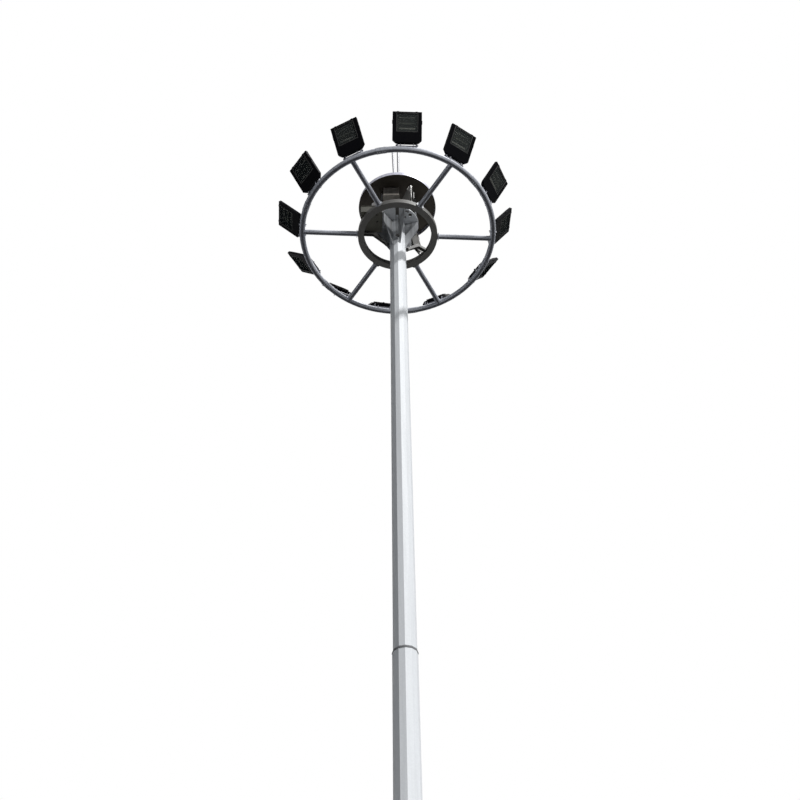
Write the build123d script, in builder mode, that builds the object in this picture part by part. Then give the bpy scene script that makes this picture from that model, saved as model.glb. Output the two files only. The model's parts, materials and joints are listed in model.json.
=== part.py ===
from build123d import *
import os
from math import cos, pi, sin, radians

os.makedirs("parts", exist_ok=True)

# ---------------------------------------------------------------------------
# A high mast floodlight tower: a twelve-sided mast in two sections, a
# fixed head with rope pulleys under a round canopy, and a lantern carriage
# that hangs on three hoist ropes and carries twelve tilting floodlights.
# Millimetres, +Z up, origin at the middle of the base flange's underside.
# Azimuths are degrees from +X towards +Y.
# ---------------------------------------------------------------------------

# mast
SIDES = 12                 # flats of the mast, with a corner at azimuth 0
MAST_BASE_R = 147.0        # corner radius that the taper starts from at ground level
TAPER = 0.00042            # corner radius lost for each millimetre of height
LOWER_WALL = 8.0
UPPER_WALL = 6.0
SLIP_Z = 8330.0            # top rim of the lower section
SLIP_LAP = 450.0           # length of the upper section's foot inside the lower one
SLIP_GAP = 0.3             # clearance in the slip joint
HEAD_Z = 16920.0           # underside of the head plate

# base flange
FLANGE_R = 300.0
FLANGE_THICK = 30.0
CABLE_HOLE_R = 125.0
ANCHOR_COUNT = 8
ANCHOR_PCD = 480.0
ANCHOR_HOLE_R = 17.0
BASE_GUSSET_HEIGHT = 220.0
BASE_GUSSET_THICK = 12.0
BASE_GUSSET_TOE = 30.0     # height of a gusset's outer edge
BASE_GUSSET_INSET = 15.0   # from the gusset's toe to the flange's rim

# service door
DOOR_AZIMUTH = 285.0       # middle of a flat
DOOR_SILL = 620.0
DOOR_HEIGHT = 640.0
DOOR_WIDTH = 150.0
DOOR_THICK = 6.0
DOOR_FRAME_WALL = 10.0
DOOR_FRAME_PROUD = 12.0    # frame stands out of the flat at sill height
DOOR_FRAME_DEPTH = 60.0

# head
HEAD_PLATE_R = 360.0
HEAD_PLATE_THICK = 20.0
ROPE_HOLE_R = 100.0
HEAD_GUSSETS = 6
HEAD_GUSSET_AZIMUTH = 49.0 # first gusset
HEAD_GUSSET_HEIGHT = 720.0
HEAD_GUSSET_THICK = 10.0
HEAD_GUSSET_RIM = 12.0     # from a gusset's outer edge to the plate's rim
HEAD_GUSSET_TOE = 230.0    # height of a gusset's outer edge
LIGHT_HOLE_R = 30.0        # lightening holes of the plate, clear of gussets and cheeks
LIGHT_HOLES = ((290.0, 318.0), (212.0, 2.0), (290.0, 38.0), (208.0, 154.0))  # radius, azimuth

# lantern carriage
RING_Z = 16614.0           # height of the ring tube's centreline, hoisted
RING_R = 1600.0            # radius of the ring tube's centreline
RING_TUBE_R = 48.0
RING_TUBE_WALL = 4.0
SPOKES = 6
SPOKE_AZIMUTH = 3.5        # first spoke
SPOKE_TUBE_R = 42.5
SPOKE_TUBE_WALL = 4.0
WELD_GAP = 0.3             # root gap at welded and seated faces
HUB_IN = 565.0             # inner radius of the inner ring
HUB_OUT = 667.0
HUB_HEIGHT = 100.0
HUB_WALL = 6.0
SPLICE_OFFSET = 18.0       # azimuth from a spoke to the next ring splice
SPLICE_WALL = 4.0
SPLICE_ARC = 6.0

# hoist
HOIST_AZIMUTHS = (53.0, 173.0, 293.0)
ROPE_R = 5.0
SHEAVE_R = 80.0            # radius of the rope's centreline on a sheave
SHEAVE_LIP = 8.0           # rim above the rope's centreline
SHEAVE_WIDTH = 24.0
SHEAVE_HUB_R = 26.0
SHEAVE_WEB = 8.0           # thickness between hub and rim
SHEAVE_RIM = 12.0          # rim under the groove
SHEAVE_Z = 17230.0
INNER_SHEAVE_AT = 100.0    # radius of the inner sheave's axle
AXLE_R = 12.0
AXLE_GAP = 0.3
CHEEK_SPACE = 40.0
CHEEK_THICK = 8.0
CHEEK_IN = 78.0
CHEEK_FOOT = 340.0
CHEEK_NOSE = 32.0          # cheek beyond the outer axle
CHEEK_TOP = 60.0           # cheek above the axle
CHEEK_DEPTH = 120.0        # height of the cheek's outer end
DOCK_Z = 16800.0           # underside of the docking plates that hang over the inner ring
DOCK_HEIGHT = 180.0        # of a docking plate's outer edge
DOCK_RIM_GAP = 12.0        # from the head plate's rim to a docking plate
DOCK_SLANT = 38.0          # how far its inner edge leans out on the way down
DOCK_REACH = 44.0          # beyond the hoist rope
SOCKET_R = 18.0
SOCKET_HEIGHT = 70.0
EQUALISER_R = 95.0
EQUALISER_THICK = 12.0
EQUALISER_DROP = 160.0     # below the head plate

# guide arms of the carriage: pairs of bent flat bars with a roller between them
GUIDE_AZIMUTHS = (34.0, 184.0, 270.0)
GUIDE_WIDTH = 56.0         # over the two bars
GUIDE_HEIGHT = 60.0
GUIDE_BAR = 8.0            # thickness of a bar and of the web between them
GUIDE_BEND_AT = 385.0      # radius where a bar turns down to its roller
GUIDE_EAR_R = 20.0         # end of a bar round the roller's axle
GUIDE_DROP = 284.0         # roller below the inner ring's middle
ROLLER_R = 30.0
ROLLER_CLEAR = 8.0         # from a roller to the mast at its widest
ROLLER_GAP = 1.0           # from a roller's end to its bar

# power cable
CABLE_AZIMUTH = 208.6
CABLE_AT = 492.0
CABLE_R = 11.0
CABLE_SHEAVE_R = 110.0
CABLE_SHEAVE_Z = 17190.0
CABLE_SHEAVE_WIDTH = 34.0
CABLE_CHEEK_IN = 215.0
CABLE_DROP_AT = 70.0
CABLE_BEND = 90.0
GLAND_R = 24.0
GLAND_HEIGHT = 40.0

# canopy and finials
CANOPY_R = 662.0
CANOPY_EDGE_Z = 17540.0    # outer edge of the canopy's top
CANOPY_SKIRT = 90.0
CANOPY_RISE = 100.0
CANOPY_SKIN = 4.0
CANOPY_HUB_R = 90.0
FINIAL_BOSS = 60.0
POST_R = 14.0
POST_AT = 335.0
POST_AZIMUTH_OFFSET = 45.0
BOSS_WALL = 5.0
ROD_R = 22.0
ROD_WALL = 3.0
ROD_OFFSET = 32.0          # rod's axis from the mast's
ROD_HEIGHT = 2250.0        # above the boss
ROD_POINT = 160.0          # length of the tapered point
ROD_TIP_R = 2.2
POLE_R = 19.0
POLE_WALL = 3.0
POLE_OFFSET = 28.0
POLE_HEIGHT = 1900.0       # above the boss
POLE_LEAN = 1.3

# terminal box under the canopy
HEAD_BOX_X = (-235.0, 35.0)
HEAD_BOX_Y = (-340.0, -135.0)
HEAD_BOX_Z = 17335.0

# junction box on the carriage
BOX_X = (-605.0, -265.0)
BOX_Y = (-434.0, -30.0)
BOX_HEIGHT = 180.0
BOX_WALL = 3.0
BOX_LID = 4.0
BOX_LID_LAP = 8.0

# floodlights
LAMP_SETTINGS = (          # azimuth on the ring, swivel from radial, aim below the horizontal
    (3.3, 0.0, 34.0),
    (33.6, 0.0, 38.0),
    (67.0, 0.0, 37.0),
    (99.8, 0.0, 37.0),
    (129.5, -12.0, 33.0),
    (155.5, -4.5, 44.0),
    (183.8, 1.6, 44.0),
    (213.3, 4.2, 36.5),
    (244.5, -0.9, 34.7),
    (276.1, -3.0, 33.0),
    (305.1, -0.6, 32.6),
    (335.7, -0.8, 32.7),
)
LAMP_WIDTH = 470.0
LAMP_HEIGHT = 540.0
LAMP_DEPTH = 84.0
LAMP_RIM = 45.0            # straight part of the sides, behind the front
LAMP_PINCH = 45.0          # sides and top draw in by this towards the back
LAMP_WALL = 4.0
LAMP_FRONT = 6.0           # thickness of the front frame
LAMP_CORNER = 45.0         # chamfer of the lower corners
PIVOT_RISE = 130.0         # pivot above the ring's centreline
PIVOT_TO_FRONT = 39.0
PIVOT_TO_EDGE = 39.0
WINDOW_WIDTH = 330.0
WINDOW_HEIGHT = 320.0
WINDOW_TOP = 30.0          # frame above the window
GLASS_LAP = 10.0
GLASS_THICK = 5.0
YOKE_WIDTH = 320.0
YOKE_DEPTH = 80.0
YOKE_PLATE = 8.0
YOKE_ARM_R = 30.0
LUG_THICK = 10.0
LUG_R = 20.0
LUG_GAP = 0.5
PIN_R = 8.0
PIN_GAP = 0.1

# ---- values that follow ----------------------------------------------------
FLAT = cos(pi / SIDES)                       # flat distance for a unit corner radius
HEAD_TOP = HEAD_Z + HEAD_PLATE_THICK
HUB_TOP = RING_Z + HUB_HEIGHT / 2
ROPE_AT = (HUB_IN + HUB_OUT) / 2             # radius of the hanging ropes
OUTER_SHEAVE_AT = ROPE_AT - SHEAVE_R
ROPE_DROP_AT = INNER_SHEAVE_AT - SHEAVE_R    # radius of the ropes inside the mast
SOCKET_TOP = HUB_TOP + SOCKET_HEIGHT
EQUALISER_TOP = HEAD_Z - EQUALISER_DROP
CABLE_SHEAVE_AT = CABLE_AT - CABLE_SHEAVE_R
SPOKE_STEP = 360.0 / SPOKES
SPOKE_AZIMUTHS = [SPOKE_AZIMUTH + SPOKE_STEP * i for i in range(SPOKES)]
CANOPY_TOP_Z = CANOPY_EDGE_Z + CANOPY_RISE
BOSS_TOP = CANOPY_TOP_Z + FINIAL_BOSS
BOX_TOP = HUB_TOP + BOX_HEIGHT
PIVOT_Z = RING_Z + PIVOT_RISE


def lower_radius(height):
    """Corner radius of the lower section's outside at a height."""
    return MAST_BASE_R - TAPER * height


def upper_radius(height):
    """Corner radius of the upper section's outside at a height."""
    return lower_radius(height) - (SLIP_GAP + LOWER_WALL) / FLAT


def polar(radius, azimuth, height=0.0):
    return Vector(radius * cos(radians(azimuth)), radius * sin(radians(azimuth)), height)


def radial_plane(azimuth):
    """Upright plane through the mast's axis: x is the radius, y the height."""
    across = Vector(sin(radians(azimuth)), -cos(radians(azimuth)), 0)
    return Plane(origin=(0, 0, 0), x_dir=polar(1, azimuth), z_dir=across)


def tangent(azimuth):
    return Vector(-sin(radians(azimuth)), cos(radians(azimuth)), 0)


def prism(low, high, low_radius, high_radius):
    """Solid tapered prism with the mast's number of sides."""
    with BuildPart() as solid:
        with BuildSketch(Plane.XY.offset(low)):
            RegularPolygon(radius=low_radius, side_count=SIDES)
        with BuildSketch(Plane.XY.offset(high)):
            RegularPolygon(radius=high_radius, side_count=SIDES)
        loft(ruled=True)
    return solid.part


def save(part, node):
    part.label = node
    export_step(part, f"parts/{node}.step")


# ---- mast ------------------------------------------------------------------
with BuildPart() as base_flange:
    with BuildSketch():
        Circle(FLANGE_R)
        Circle(CABLE_HOLE_R, mode=Mode.SUBTRACT)
        with PolarLocations(ANCHOR_PCD / 2, ANCHOR_COUNT):
            Circle(ANCHOR_HOLE_R, mode=Mode.SUBTRACT)
    extrude(amount=FLANGE_THICK)
save(base_flange.part, "base_flange")

lower_outside = prism(FLANGE_THICK, SLIP_Z, lower_radius(FLANGE_THICK), lower_radius(SLIP_Z))
lower_inside = prism(
    FLANGE_THICK,
    SLIP_Z,
    lower_radius(FLANGE_THICK) - LOWER_WALL / FLAT,
    lower_radius(SLIP_Z) - LOWER_WALL / FLAT,
)

with BuildPart() as base_gussets:
    for i in range(ANCHOR_COUNT):
        with BuildSketch(radial_plane((i + 0.5) * 360.0 / ANCHOR_COUNT)):
            with BuildLine():
                toe = FLANGE_R - BASE_GUSSET_INSET
                top = FLANGE_THICK + BASE_GUSSET_HEIGHT
                Polyline(
                    (CABLE_HOLE_R, FLANGE_THICK),
                    (toe, FLANGE_THICK),
                    (toe, FLANGE_THICK + BASE_GUSSET_TOE),
                    (lower_radius(top), top),
                    (CABLE_HOLE_R, top),
                    close=True,
                )
            make_face()
        extrude(amount=BASE_GUSSET_THICK / 2, both=True)
    add(lower_outside, mode=Mode.SUBTRACT)
save(base_gussets.part, "base_gussets")

# The door frame is a rectangular collar let into the wall across one flat.
DOOR_FACE = lower_radius(DOOR_SILL) * FLAT + DOOR_FRAME_PROUD
door_plane = Plane(
    origin=polar(DOOR_FACE, DOOR_AZIMUTH, DOOR_SILL + DOOR_HEIGHT / 2),
    x_dir=tangent(DOOR_AZIMUTH),
    z_dir=polar(1, DOOR_AZIMUTH),
)
with BuildPart() as door_cut:
    with BuildSketch(door_plane):
        Rectangle(DOOR_WIDTH + 2 * WELD_GAP, DOOR_HEIGHT + 2 * WELD_GAP)
    extrude(amount=-DOOR_FACE)

with BuildPart() as mast_lower_section:
    add(lower_outside)
    add(lower_inside, mode=Mode.SUBTRACT)
    add(door_cut.part, mode=Mode.SUBTRACT)
save(mast_lower_section.part, "mast_lower_section")

with BuildPart() as door_frame:
    with BuildSketch(door_plane):
        Rectangle(DOOR_WIDTH, DOOR_HEIGHT)
        Rectangle(DOOR_WIDTH - 2 * DOOR_FRAME_WALL, DOOR_HEIGHT - 2 * DOOR_FRAME_WALL, mode=Mode.SUBTRACT)
    extrude(amount=-DOOR_FRAME_DEPTH)
save(door_frame.part, "door_frame")

with BuildPart() as access_door:
    with BuildSketch(door_plane):
        Rectangle(DOOR_WIDTH, DOOR_HEIGHT)
    extrude(amount=DOOR_THICK)
    fillet(access_door.edges().filter_by(Axis(door_plane.origin, door_plane.z_dir)), DOOR_FRAME_WALL)
save(access_door.part, "access_door")

UPPER_FOOT = SLIP_Z - SLIP_LAP
upper_outside = prism(UPPER_FOOT, HEAD_Z, upper_radius(UPPER_FOOT), upper_radius(HEAD_Z))
upper_inside = prism(
    UPPER_FOOT,
    HEAD_Z,
    upper_radius(UPPER_FOOT) - UPPER_WALL / FLAT,
    upper_radius(HEAD_Z) - UPPER_WALL / FLAT,
)
with BuildPart() as mast_upper_section:
    add(upper_outside)
    add(upper_inside, mode=Mode.SUBTRACT)
save(mast_upper_section.part, "mast_upper_section")

# ---- fixed head ------------------------------------------------------------
GUSSET_STEP = 360.0 / HEAD_GUSSETS
with BuildPart() as head_plate:
    with BuildSketch(Plane.XY.offset(HEAD_Z)):
        Circle(HEAD_PLATE_R)
        Circle(ROPE_HOLE_R, mode=Mode.SUBTRACT)
        with Locations(*[polar(*hole) for hole in LIGHT_HOLES]):
            Circle(LIGHT_HOLE_R, mode=Mode.SUBTRACT)
    extrude(amount=HEAD_PLATE_THICK)
save(head_plate.part, "head_plate")

GUSSET_RIM = HEAD_PLATE_R - HEAD_GUSSET_RIM
GUSSET_FOOT_Z = HEAD_Z - HEAD_GUSSET_HEIGHT
with BuildPart() as head_gussets:
    for i in range(HEAD_GUSSETS):
        with BuildSketch(radial_plane(HEAD_GUSSET_AZIMUTH + i * GUSSET_STEP)):
            with BuildLine():
                Polyline(
                    (ROPE_HOLE_R, HEAD_Z),
                    (GUSSET_RIM, HEAD_Z),
                    (GUSSET_RIM, HEAD_Z - HEAD_GUSSET_TOE),
                    (upper_radius(GUSSET_FOOT_Z), GUSSET_FOOT_Z),
                    (ROPE_HOLE_R, GUSSET_FOOT_Z),
                    close=True,
                )
            make_face()
        extrude(amount=HEAD_GUSSET_THICK / 2, both=True)
    add(upper_outside, mode=Mode.SUBTRACT)
save(head_gussets.part, "head_gussets")


def cheek_pair(azimuth, start, axles, end, axle_z, underside):
    """Two upright cheek plates on the head plate, joined by their sheave axles."""
    with BuildPart() as arm:
        for side in (-1, 1):
            inner = side * CHEEK_SPACE / 2
            with BuildSketch(radial_plane(azimuth).offset(inner)):
                with BuildLine():
                    Polyline(
                        (start, HEAD_TOP),
                        *underside,
                        (end, axle_z + CHEEK_TOP - CHEEK_DEPTH),
                        (end, axle_z + CHEEK_TOP),
                        (start, axle_z + CHEEK_TOP),
                        close=True,
                    )
                make_face()
            extrude(amount=side * CHEEK_THICK)
        with BuildSketch(radial_plane(azimuth)):
            with Locations(*[(at, axle_z) for at in axles]):
                Circle(AXLE_R)
        extrude(amount=CHEEK_SPACE / 2 + CHEEK_THICK, both=True)
    return arm.part


def sheave(azimuth, at, height, radius, width, line_radius):
    """Grooved wheel on a tangential axle; radius is that of the rope's centreline."""
    middle = polar(at, azimuth, height)
    rim = radius + SHEAVE_LIP
    groove = radius - line_radius - AXLE_GAP
    rim_in = groove - SHEAVE_RIM
    with BuildPart() as wheel:
        with BuildSketch(Plane(origin=middle, x_dir=tangent(azimuth), z_dir=polar(1, azimuth))):
            with BuildLine():
                Polyline(
                    (-width / 2, AXLE_R + AXLE_GAP),
                    (-width / 2, SHEAVE_HUB_R),
                    (-SHEAVE_WEB / 2, SHEAVE_HUB_R),
                    (-SHEAVE_WEB / 2, rim_in),
                    (-width / 2, rim_in),
                    (-width / 2, rim),
                    (-width / 2 + SHEAVE_LIP / 4, rim),
                    (-line_radius - AXLE_GAP, groove),
                    (line_radius + AXLE_GAP, groove),
                    (width / 2 - SHEAVE_LIP / 4, rim),
                    (width / 2, rim),
                    (width / 2, rim_in),
                    (SHEAVE_WEB / 2, rim_in),
                    (SHEAVE_WEB / 2, SHEAVE_HUB_R),
                    (width / 2, SHEAVE_HUB_R),
                    (width / 2, AXLE_R + AXLE_GAP),
                    close=True,
                )
            make_face()
        revolve(axis=Axis(middle, tangent(azimuth)))
    return wheel.part


DOCK_IN = HEAD_PLATE_R + DOCK_RIM_GAP
DOCK_OUT = ROPE_AT + DOCK_REACH
hoist_cheeks = [
    cheek_pair(
        azimuth,
        CHEEK_IN,
        (INNER_SHEAVE_AT, OUTER_SHEAVE_AT),
        OUTER_SHEAVE_AT + CHEEK_NOSE,
        SHEAVE_Z,
        (
            (DOCK_IN, HEAD_TOP),
            (DOCK_IN + DOCK_SLANT, DOCK_Z),
            (DOCK_OUT, DOCK_Z),
            (DOCK_OUT, DOCK_Z + DOCK_HEIGHT),
        ),
    )
    for azimuth in HOIST_AZIMUTHS
]
cable_cheeks = cheek_pair(
    CABLE_AZIMUTH,
    CABLE_CHEEK_IN,
    (CABLE_SHEAVE_AT,),
    CABLE_SHEAVE_AT + CHEEK_NOSE,
    CABLE_SHEAVE_Z,
    ((CHEEK_FOOT, HEAD_TOP),),
)
with BuildPart() as pulley_arms:
    for cheeks in hoist_cheeks:
        add(cheeks)
    add(cable_cheeks)
save(pulley_arms.part, "pulley_arms")

hoist_wheels = [
    sheave(azimuth, at, SHEAVE_Z, SHEAVE_R, SHEAVE_WIDTH, ROPE_R)
    for azimuth in HOIST_AZIMUTHS
    for at in (INNER_SHEAVE_AT, OUTER_SHEAVE_AT)
]
cable_wheel = sheave(
    CABLE_AZIMUTH, CABLE_SHEAVE_AT, CABLE_SHEAVE_Z, CABLE_SHEAVE_R, CABLE_SHEAVE_WIDTH, CABLE_R
)
with BuildPart() as rope_sheaves:
    for wheel in hoist_wheels:
        add(wheel)
    add(cable_wheel)
save(rope_sheaves.part, "rope_sheaves")


def line_over_head(azimuth, outer_at, outer_z, outer_r, drop_at, drop_r, line_r):
    """Rope or cable: up over the outer sheave, in to the mast and down inside it."""
    run = outer_z + outer_r
    with BuildPart() as line:
        with BuildLine(radial_plane(azimuth)) as route:
            CenterArc((outer_at, outer_z), outer_r, 0, 90)
            Line((outer_at, run), (drop_at + drop_r, run))
            CenterArc((drop_at + drop_r, run - drop_r), drop_r, 90, 90)
            Line((drop_at, run - drop_r), (drop_at, EQUALISER_TOP))
        with BuildSketch(Plane.XY.offset(outer_z)):
            with Locations(polar(outer_at + outer_r, azimuth)):
                Circle(line_r)
        sweep(path=route.line)
    return line.part


rope_lines = [
    line_over_head(azimuth, OUTER_SHEAVE_AT, SHEAVE_Z, SHEAVE_R, ROPE_DROP_AT, SHEAVE_R, ROPE_R)
    for azimuth in HOIST_AZIMUTHS
]
with BuildPart() as head_ropes:
    for rope in rope_lines:
        add(rope)
save(head_ropes.part, "head_ropes")

cable_line = line_over_head(
    CABLE_AZIMUTH, CABLE_SHEAVE_AT, CABLE_SHEAVE_Z, CABLE_SHEAVE_R, CABLE_DROP_AT, CABLE_BEND, CABLE_R
)
with BuildPart() as head_cable:
    add(cable_line)
save(head_cable.part, "head_cable")

with BuildPart() as rope_equaliser:
    with BuildSketch(Plane.XY.offset(EQUALISER_TOP)):
        Circle(EQUALISER_R)
    extrude(amount=-EQUALISER_THICK)
save(rope_equaliser.part, "rope_equaliser")

# ---- canopy ----------------------------------------------------------------
with BuildPart() as canopy:
    with BuildSketch(Plane.XZ):
        with BuildLine():
            Polyline(
                (CANOPY_R, CANOPY_EDGE_Z - CANOPY_SKIRT),
                (CANOPY_R, CANOPY_EDGE_Z),
                (CANOPY_HUB_R, CANOPY_TOP_Z),
                (0, CANOPY_TOP_Z),
                (0, CANOPY_TOP_Z - CANOPY_SKIN),
                (CANOPY_HUB_R, CANOPY_TOP_Z - CANOPY_SKIN),
                (CANOPY_R - CANOPY_SKIN, CANOPY_EDGE_Z - CANOPY_SKIN),
                (CANOPY_R - CANOPY_SKIN, CANOPY_EDGE_Z - CANOPY_SKIRT),
                close=True,
            )
        make_face()
    revolve(axis=Axis.Z)
save(canopy.part, "canopy")


def under_canopy(radius):
    """Height just under the canopy's sloping skin at a radius."""
    inner = CANOPY_R - CANOPY_SKIN
    share = (inner - radius) / (inner - CANOPY_HUB_R)
    return CANOPY_EDGE_Z - CANOPY_SKIN + CANOPY_RISE * share - WELD_GAP


POST_TOP = under_canopy(POST_AT + POST_R)
with BuildPart() as canopy_posts:
    with BuildSketch(Plane.XY.offset(HEAD_TOP)):
        with Locations(*[polar(POST_AT, azimuth + POST_AZIMUTH_OFFSET) for azimuth in HOIST_AZIMUTHS]):
            Circle(POST_R)
    extrude(amount=POST_TOP - HEAD_TOP)
save(canopy_posts.part, "canopy_posts")

HEAD_BOX_REACH = Vector(HEAD_BOX_X[0], HEAD_BOX_Y[0], 0).length
with BuildPart() as head_terminal_box:
    with BuildSketch(Plane.XY.offset(HEAD_BOX_Z)):
        with Locations(((HEAD_BOX_X[0] + HEAD_BOX_X[1]) / 2, (HEAD_BOX_Y[0] + HEAD_BOX_Y[1]) / 2)):
            Rectangle(HEAD_BOX_X[1] - HEAD_BOX_X[0], HEAD_BOX_Y[1] - HEAD_BOX_Y[0])
    extrude(amount=under_canopy(HEAD_BOX_REACH) - HEAD_BOX_Z)
    offset(amount=-BOX_WALL, openings=head_terminal_box.faces().sort_by(Axis.Z)[-1])
save(head_terminal_box.part, "head_terminal_box")

# The boss is a cup under which the bores of rod and pole open.
with BuildPart() as lightning_rod:
    with BuildSketch(Plane.XY.offset(CANOPY_TOP_Z)):
        Circle(CANOPY_HUB_R)
    extrude(amount=FINIAL_BOSS)
    fillet(lightning_rod.edges().group_by(Axis.Z)[-1], CANOPY_SKIN)
    with BuildSketch(Plane.XY.offset(BOSS_TOP)):
        with Locations((ROD_OFFSET, 0)):
            Circle(ROD_R)
    extrude(amount=ROD_HEIGHT - ROD_POINT)
    with BuildSketch(Plane.XY.offset(BOSS_TOP + ROD_HEIGHT - ROD_POINT)):
        with Locations((ROD_OFFSET, 0)):
            Circle(ROD_R)
    with BuildSketch(Plane.XY.offset(BOSS_TOP + ROD_HEIGHT)):
        with Locations((ROD_OFFSET, 0)):
            Circle(ROD_TIP_R)
    loft()
    with BuildSketch(Plane.XY.offset(CANOPY_TOP_Z)):
        Circle(CANOPY_HUB_R - BOSS_WALL)
    extrude(amount=FINIAL_BOSS - BOSS_WALL, mode=Mode.SUBTRACT)
    with BuildSketch(Plane.XY.offset(CANOPY_TOP_Z)):
        with Locations((ROD_OFFSET, 0)):
            Circle(ROD_R - ROD_WALL)
    extrude(amount=FINIAL_BOSS + ROD_HEIGHT - ROD_POINT, mode=Mode.SUBTRACT)
save(lightning_rod.part, "lightning_rod")

with BuildPart() as slim_pole:
    lean = Vector(-sin(radians(POLE_LEAN)), 0, cos(radians(POLE_LEAN)))
    foot = Plane(origin=(-POLE_OFFSET, 0, BOSS_TOP - POLE_R), x_dir=(0, 1, 0), z_dir=lean)
    with BuildSketch(foot):
        Circle(POLE_R)
    extrude(amount=POLE_HEIGHT + POLE_R)
    fillet(slim_pole.edges().group_by(Axis.Z)[-1], POLE_WALL)
    with BuildSketch(foot):
        Circle(POLE_R - POLE_WALL)
    extrude(amount=POLE_HEIGHT + POLE_R - POLE_WALL, mode=Mode.SUBTRACT)
    split(bisect_by=Plane.XY.offset(BOSS_TOP), keep=Keep.TOP)
save(slim_pole.part, "slim_pole")

# ---- lantern carriage: rings and spokes ------------------------------------
with BuildPart() as inner_ring:
    with BuildSketch(Plane.XZ):
        with Locations((ROPE_AT, RING_Z)):
            Rectangle(HUB_OUT - HUB_IN, HUB_HEIGHT)
            Rectangle(HUB_OUT - HUB_IN - 2 * HUB_WALL, HUB_HEIGHT - 2 * HUB_WALL, mode=Mode.SUBTRACT)
    revolve(axis=Axis.Z)
    for azimuth in SPOKE_AZIMUTHS:
        with BuildSketch(Plane(origin=polar(ROPE_AT, azimuth, RING_Z), z_dir=polar(1, azimuth))):
            Circle(SPOKE_TUBE_R + WELD_GAP)
        extrude(amount=HUB_OUT - HUB_IN, mode=Mode.SUBTRACT)
save(inner_ring.part, "inner_ring")

for i, azimuth in enumerate(SPOKE_AZIMUTHS):
    with BuildPart() as ring_segment:
        with BuildSketch(radial_plane(azimuth + SPLICE_OFFSET)):
            with Locations((RING_R, RING_Z)):
                Circle(RING_TUBE_R)
                Circle(RING_TUBE_R - RING_TUBE_WALL, mode=Mode.SUBTRACT)
        revolve(axis=Axis.Z, revolution_arc=SPOKE_STEP)
    save(ring_segment.part, f"ring_segment_{i + 1}")

with BuildPart() as ring_splices:
    for azimuth in SPOKE_AZIMUTHS:
        with BuildSketch(radial_plane(azimuth + SPLICE_OFFSET - SPLICE_ARC / 2)):
            with Locations((RING_R, RING_Z)):
                Circle(RING_TUBE_R + WELD_GAP + SPLICE_WALL)
                Circle(RING_TUBE_R + WELD_GAP, mode=Mode.SUBTRACT)
        revolve(axis=Axis.Z, revolution_arc=SPLICE_ARC)
save(ring_splices.part, "ring_splices")

with BuildPart() as ring_envelope:
    with BuildSketch(Plane.XZ):
        with Locations((RING_R, RING_Z)):
            Circle(RING_TUBE_R + WELD_GAP)
    revolve(axis=Axis.Z)

SPOKE_START = HUB_IN + HUB_WALL + WELD_GAP + SPOKE_TUBE_R**2 / (2 * HUB_IN)
with BuildPart() as spokes:
    for azimuth in SPOKE_AZIMUTHS:
        with BuildSketch(Plane(origin=polar(SPOKE_START, azimuth, RING_Z), z_dir=polar(1, azimuth))):
            Circle(SPOKE_TUBE_R)
            Circle(SPOKE_TUBE_R - SPOKE_TUBE_WALL, mode=Mode.SUBTRACT)
        extrude(amount=RING_R - SPOKE_START)
    add(ring_envelope.part, mode=Mode.SUBTRACT)
save(spokes.part, "spokes")

# ---- lantern carriage: hoist sockets, guides, boxes ------------------------
with BuildPart() as rope_sockets:
    with BuildSketch(Plane.XY.offset(HUB_TOP)):
        with Locations(*[polar(ROPE_AT, azimuth) for azimuth in HOIST_AZIMUTHS]):
            Circle(SOCKET_R)
    extrude(amount=SOCKET_HEIGHT)
save(rope_sockets.part, "rope_sockets")

with BuildPart() as hoist_ropes:
    with BuildSketch(Plane.XY.offset(SOCKET_TOP)):
        with Locations(*[polar(ROPE_AT, azimuth) for azimuth in HOIST_AZIMUTHS]):
            Circle(ROPE_R)
    extrude(amount=SHEAVE_Z - SOCKET_TOP)
save(hoist_ropes.part, "hoist_ropes")

ROLLER_AT = lower_radius(0) + ROLLER_CLEAR + ROLLER_R
ROLLER_Z = RING_Z - GUIDE_DROP
GUIDE_TOP = RING_Z + GUIDE_HEIGHT / 2
GUIDE_LOW = RING_Z - GUIDE_HEIGHT / 2
with BuildPart() as guide_arms:
    for azimuth in GUIDE_AZIMUTHS:
        for side in (-1, 1):
            inner = side * (GUIDE_WIDTH / 2 - GUIDE_BAR)
            with BuildSketch(radial_plane(azimuth).offset(-inner)):
                with BuildLine():
                    Polyline(
                        (HUB_OUT, GUIDE_TOP),
                        (GUIDE_BEND_AT, GUIDE_TOP),
                        (ROLLER_AT - GUIDE_EAR_R, ROLLER_Z),
                        (ROLLER_AT + GUIDE_EAR_R, ROLLER_Z),
                        (GUIDE_BEND_AT + GUIDE_HEIGHT / 2, GUIDE_LOW),
                        (HUB_OUT, GUIDE_LOW),
                        close=True,
                    )
                make_face()
                with Locations((ROLLER_AT, ROLLER_Z)):
                    Circle(GUIDE_EAR_R)
                    Circle(PIN_R + PIN_GAP, mode=Mode.SUBTRACT)
            extrude(amount=-side * GUIDE_BAR)
        with BuildSketch(radial_plane(azimuth)):
            with Locations(((HUB_OUT + GUIDE_BEND_AT) / 2, GUIDE_TOP - GUIDE_BAR / 2)):
                Rectangle(HUB_OUT - GUIDE_BEND_AT, GUIDE_BAR)
        extrude(amount=GUIDE_WIDTH / 2, both=True)
    with BuildSketch(Plane.XY.offset(ROLLER_Z - GUIDE_HEIGHT)):
        Circle(HUB_IN)
    extrude(amount=GUIDE_DROP + 2 * GUIDE_HEIGHT, mode=Mode.INTERSECT)
save(guide_arms.part, "guide_arms")

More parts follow.
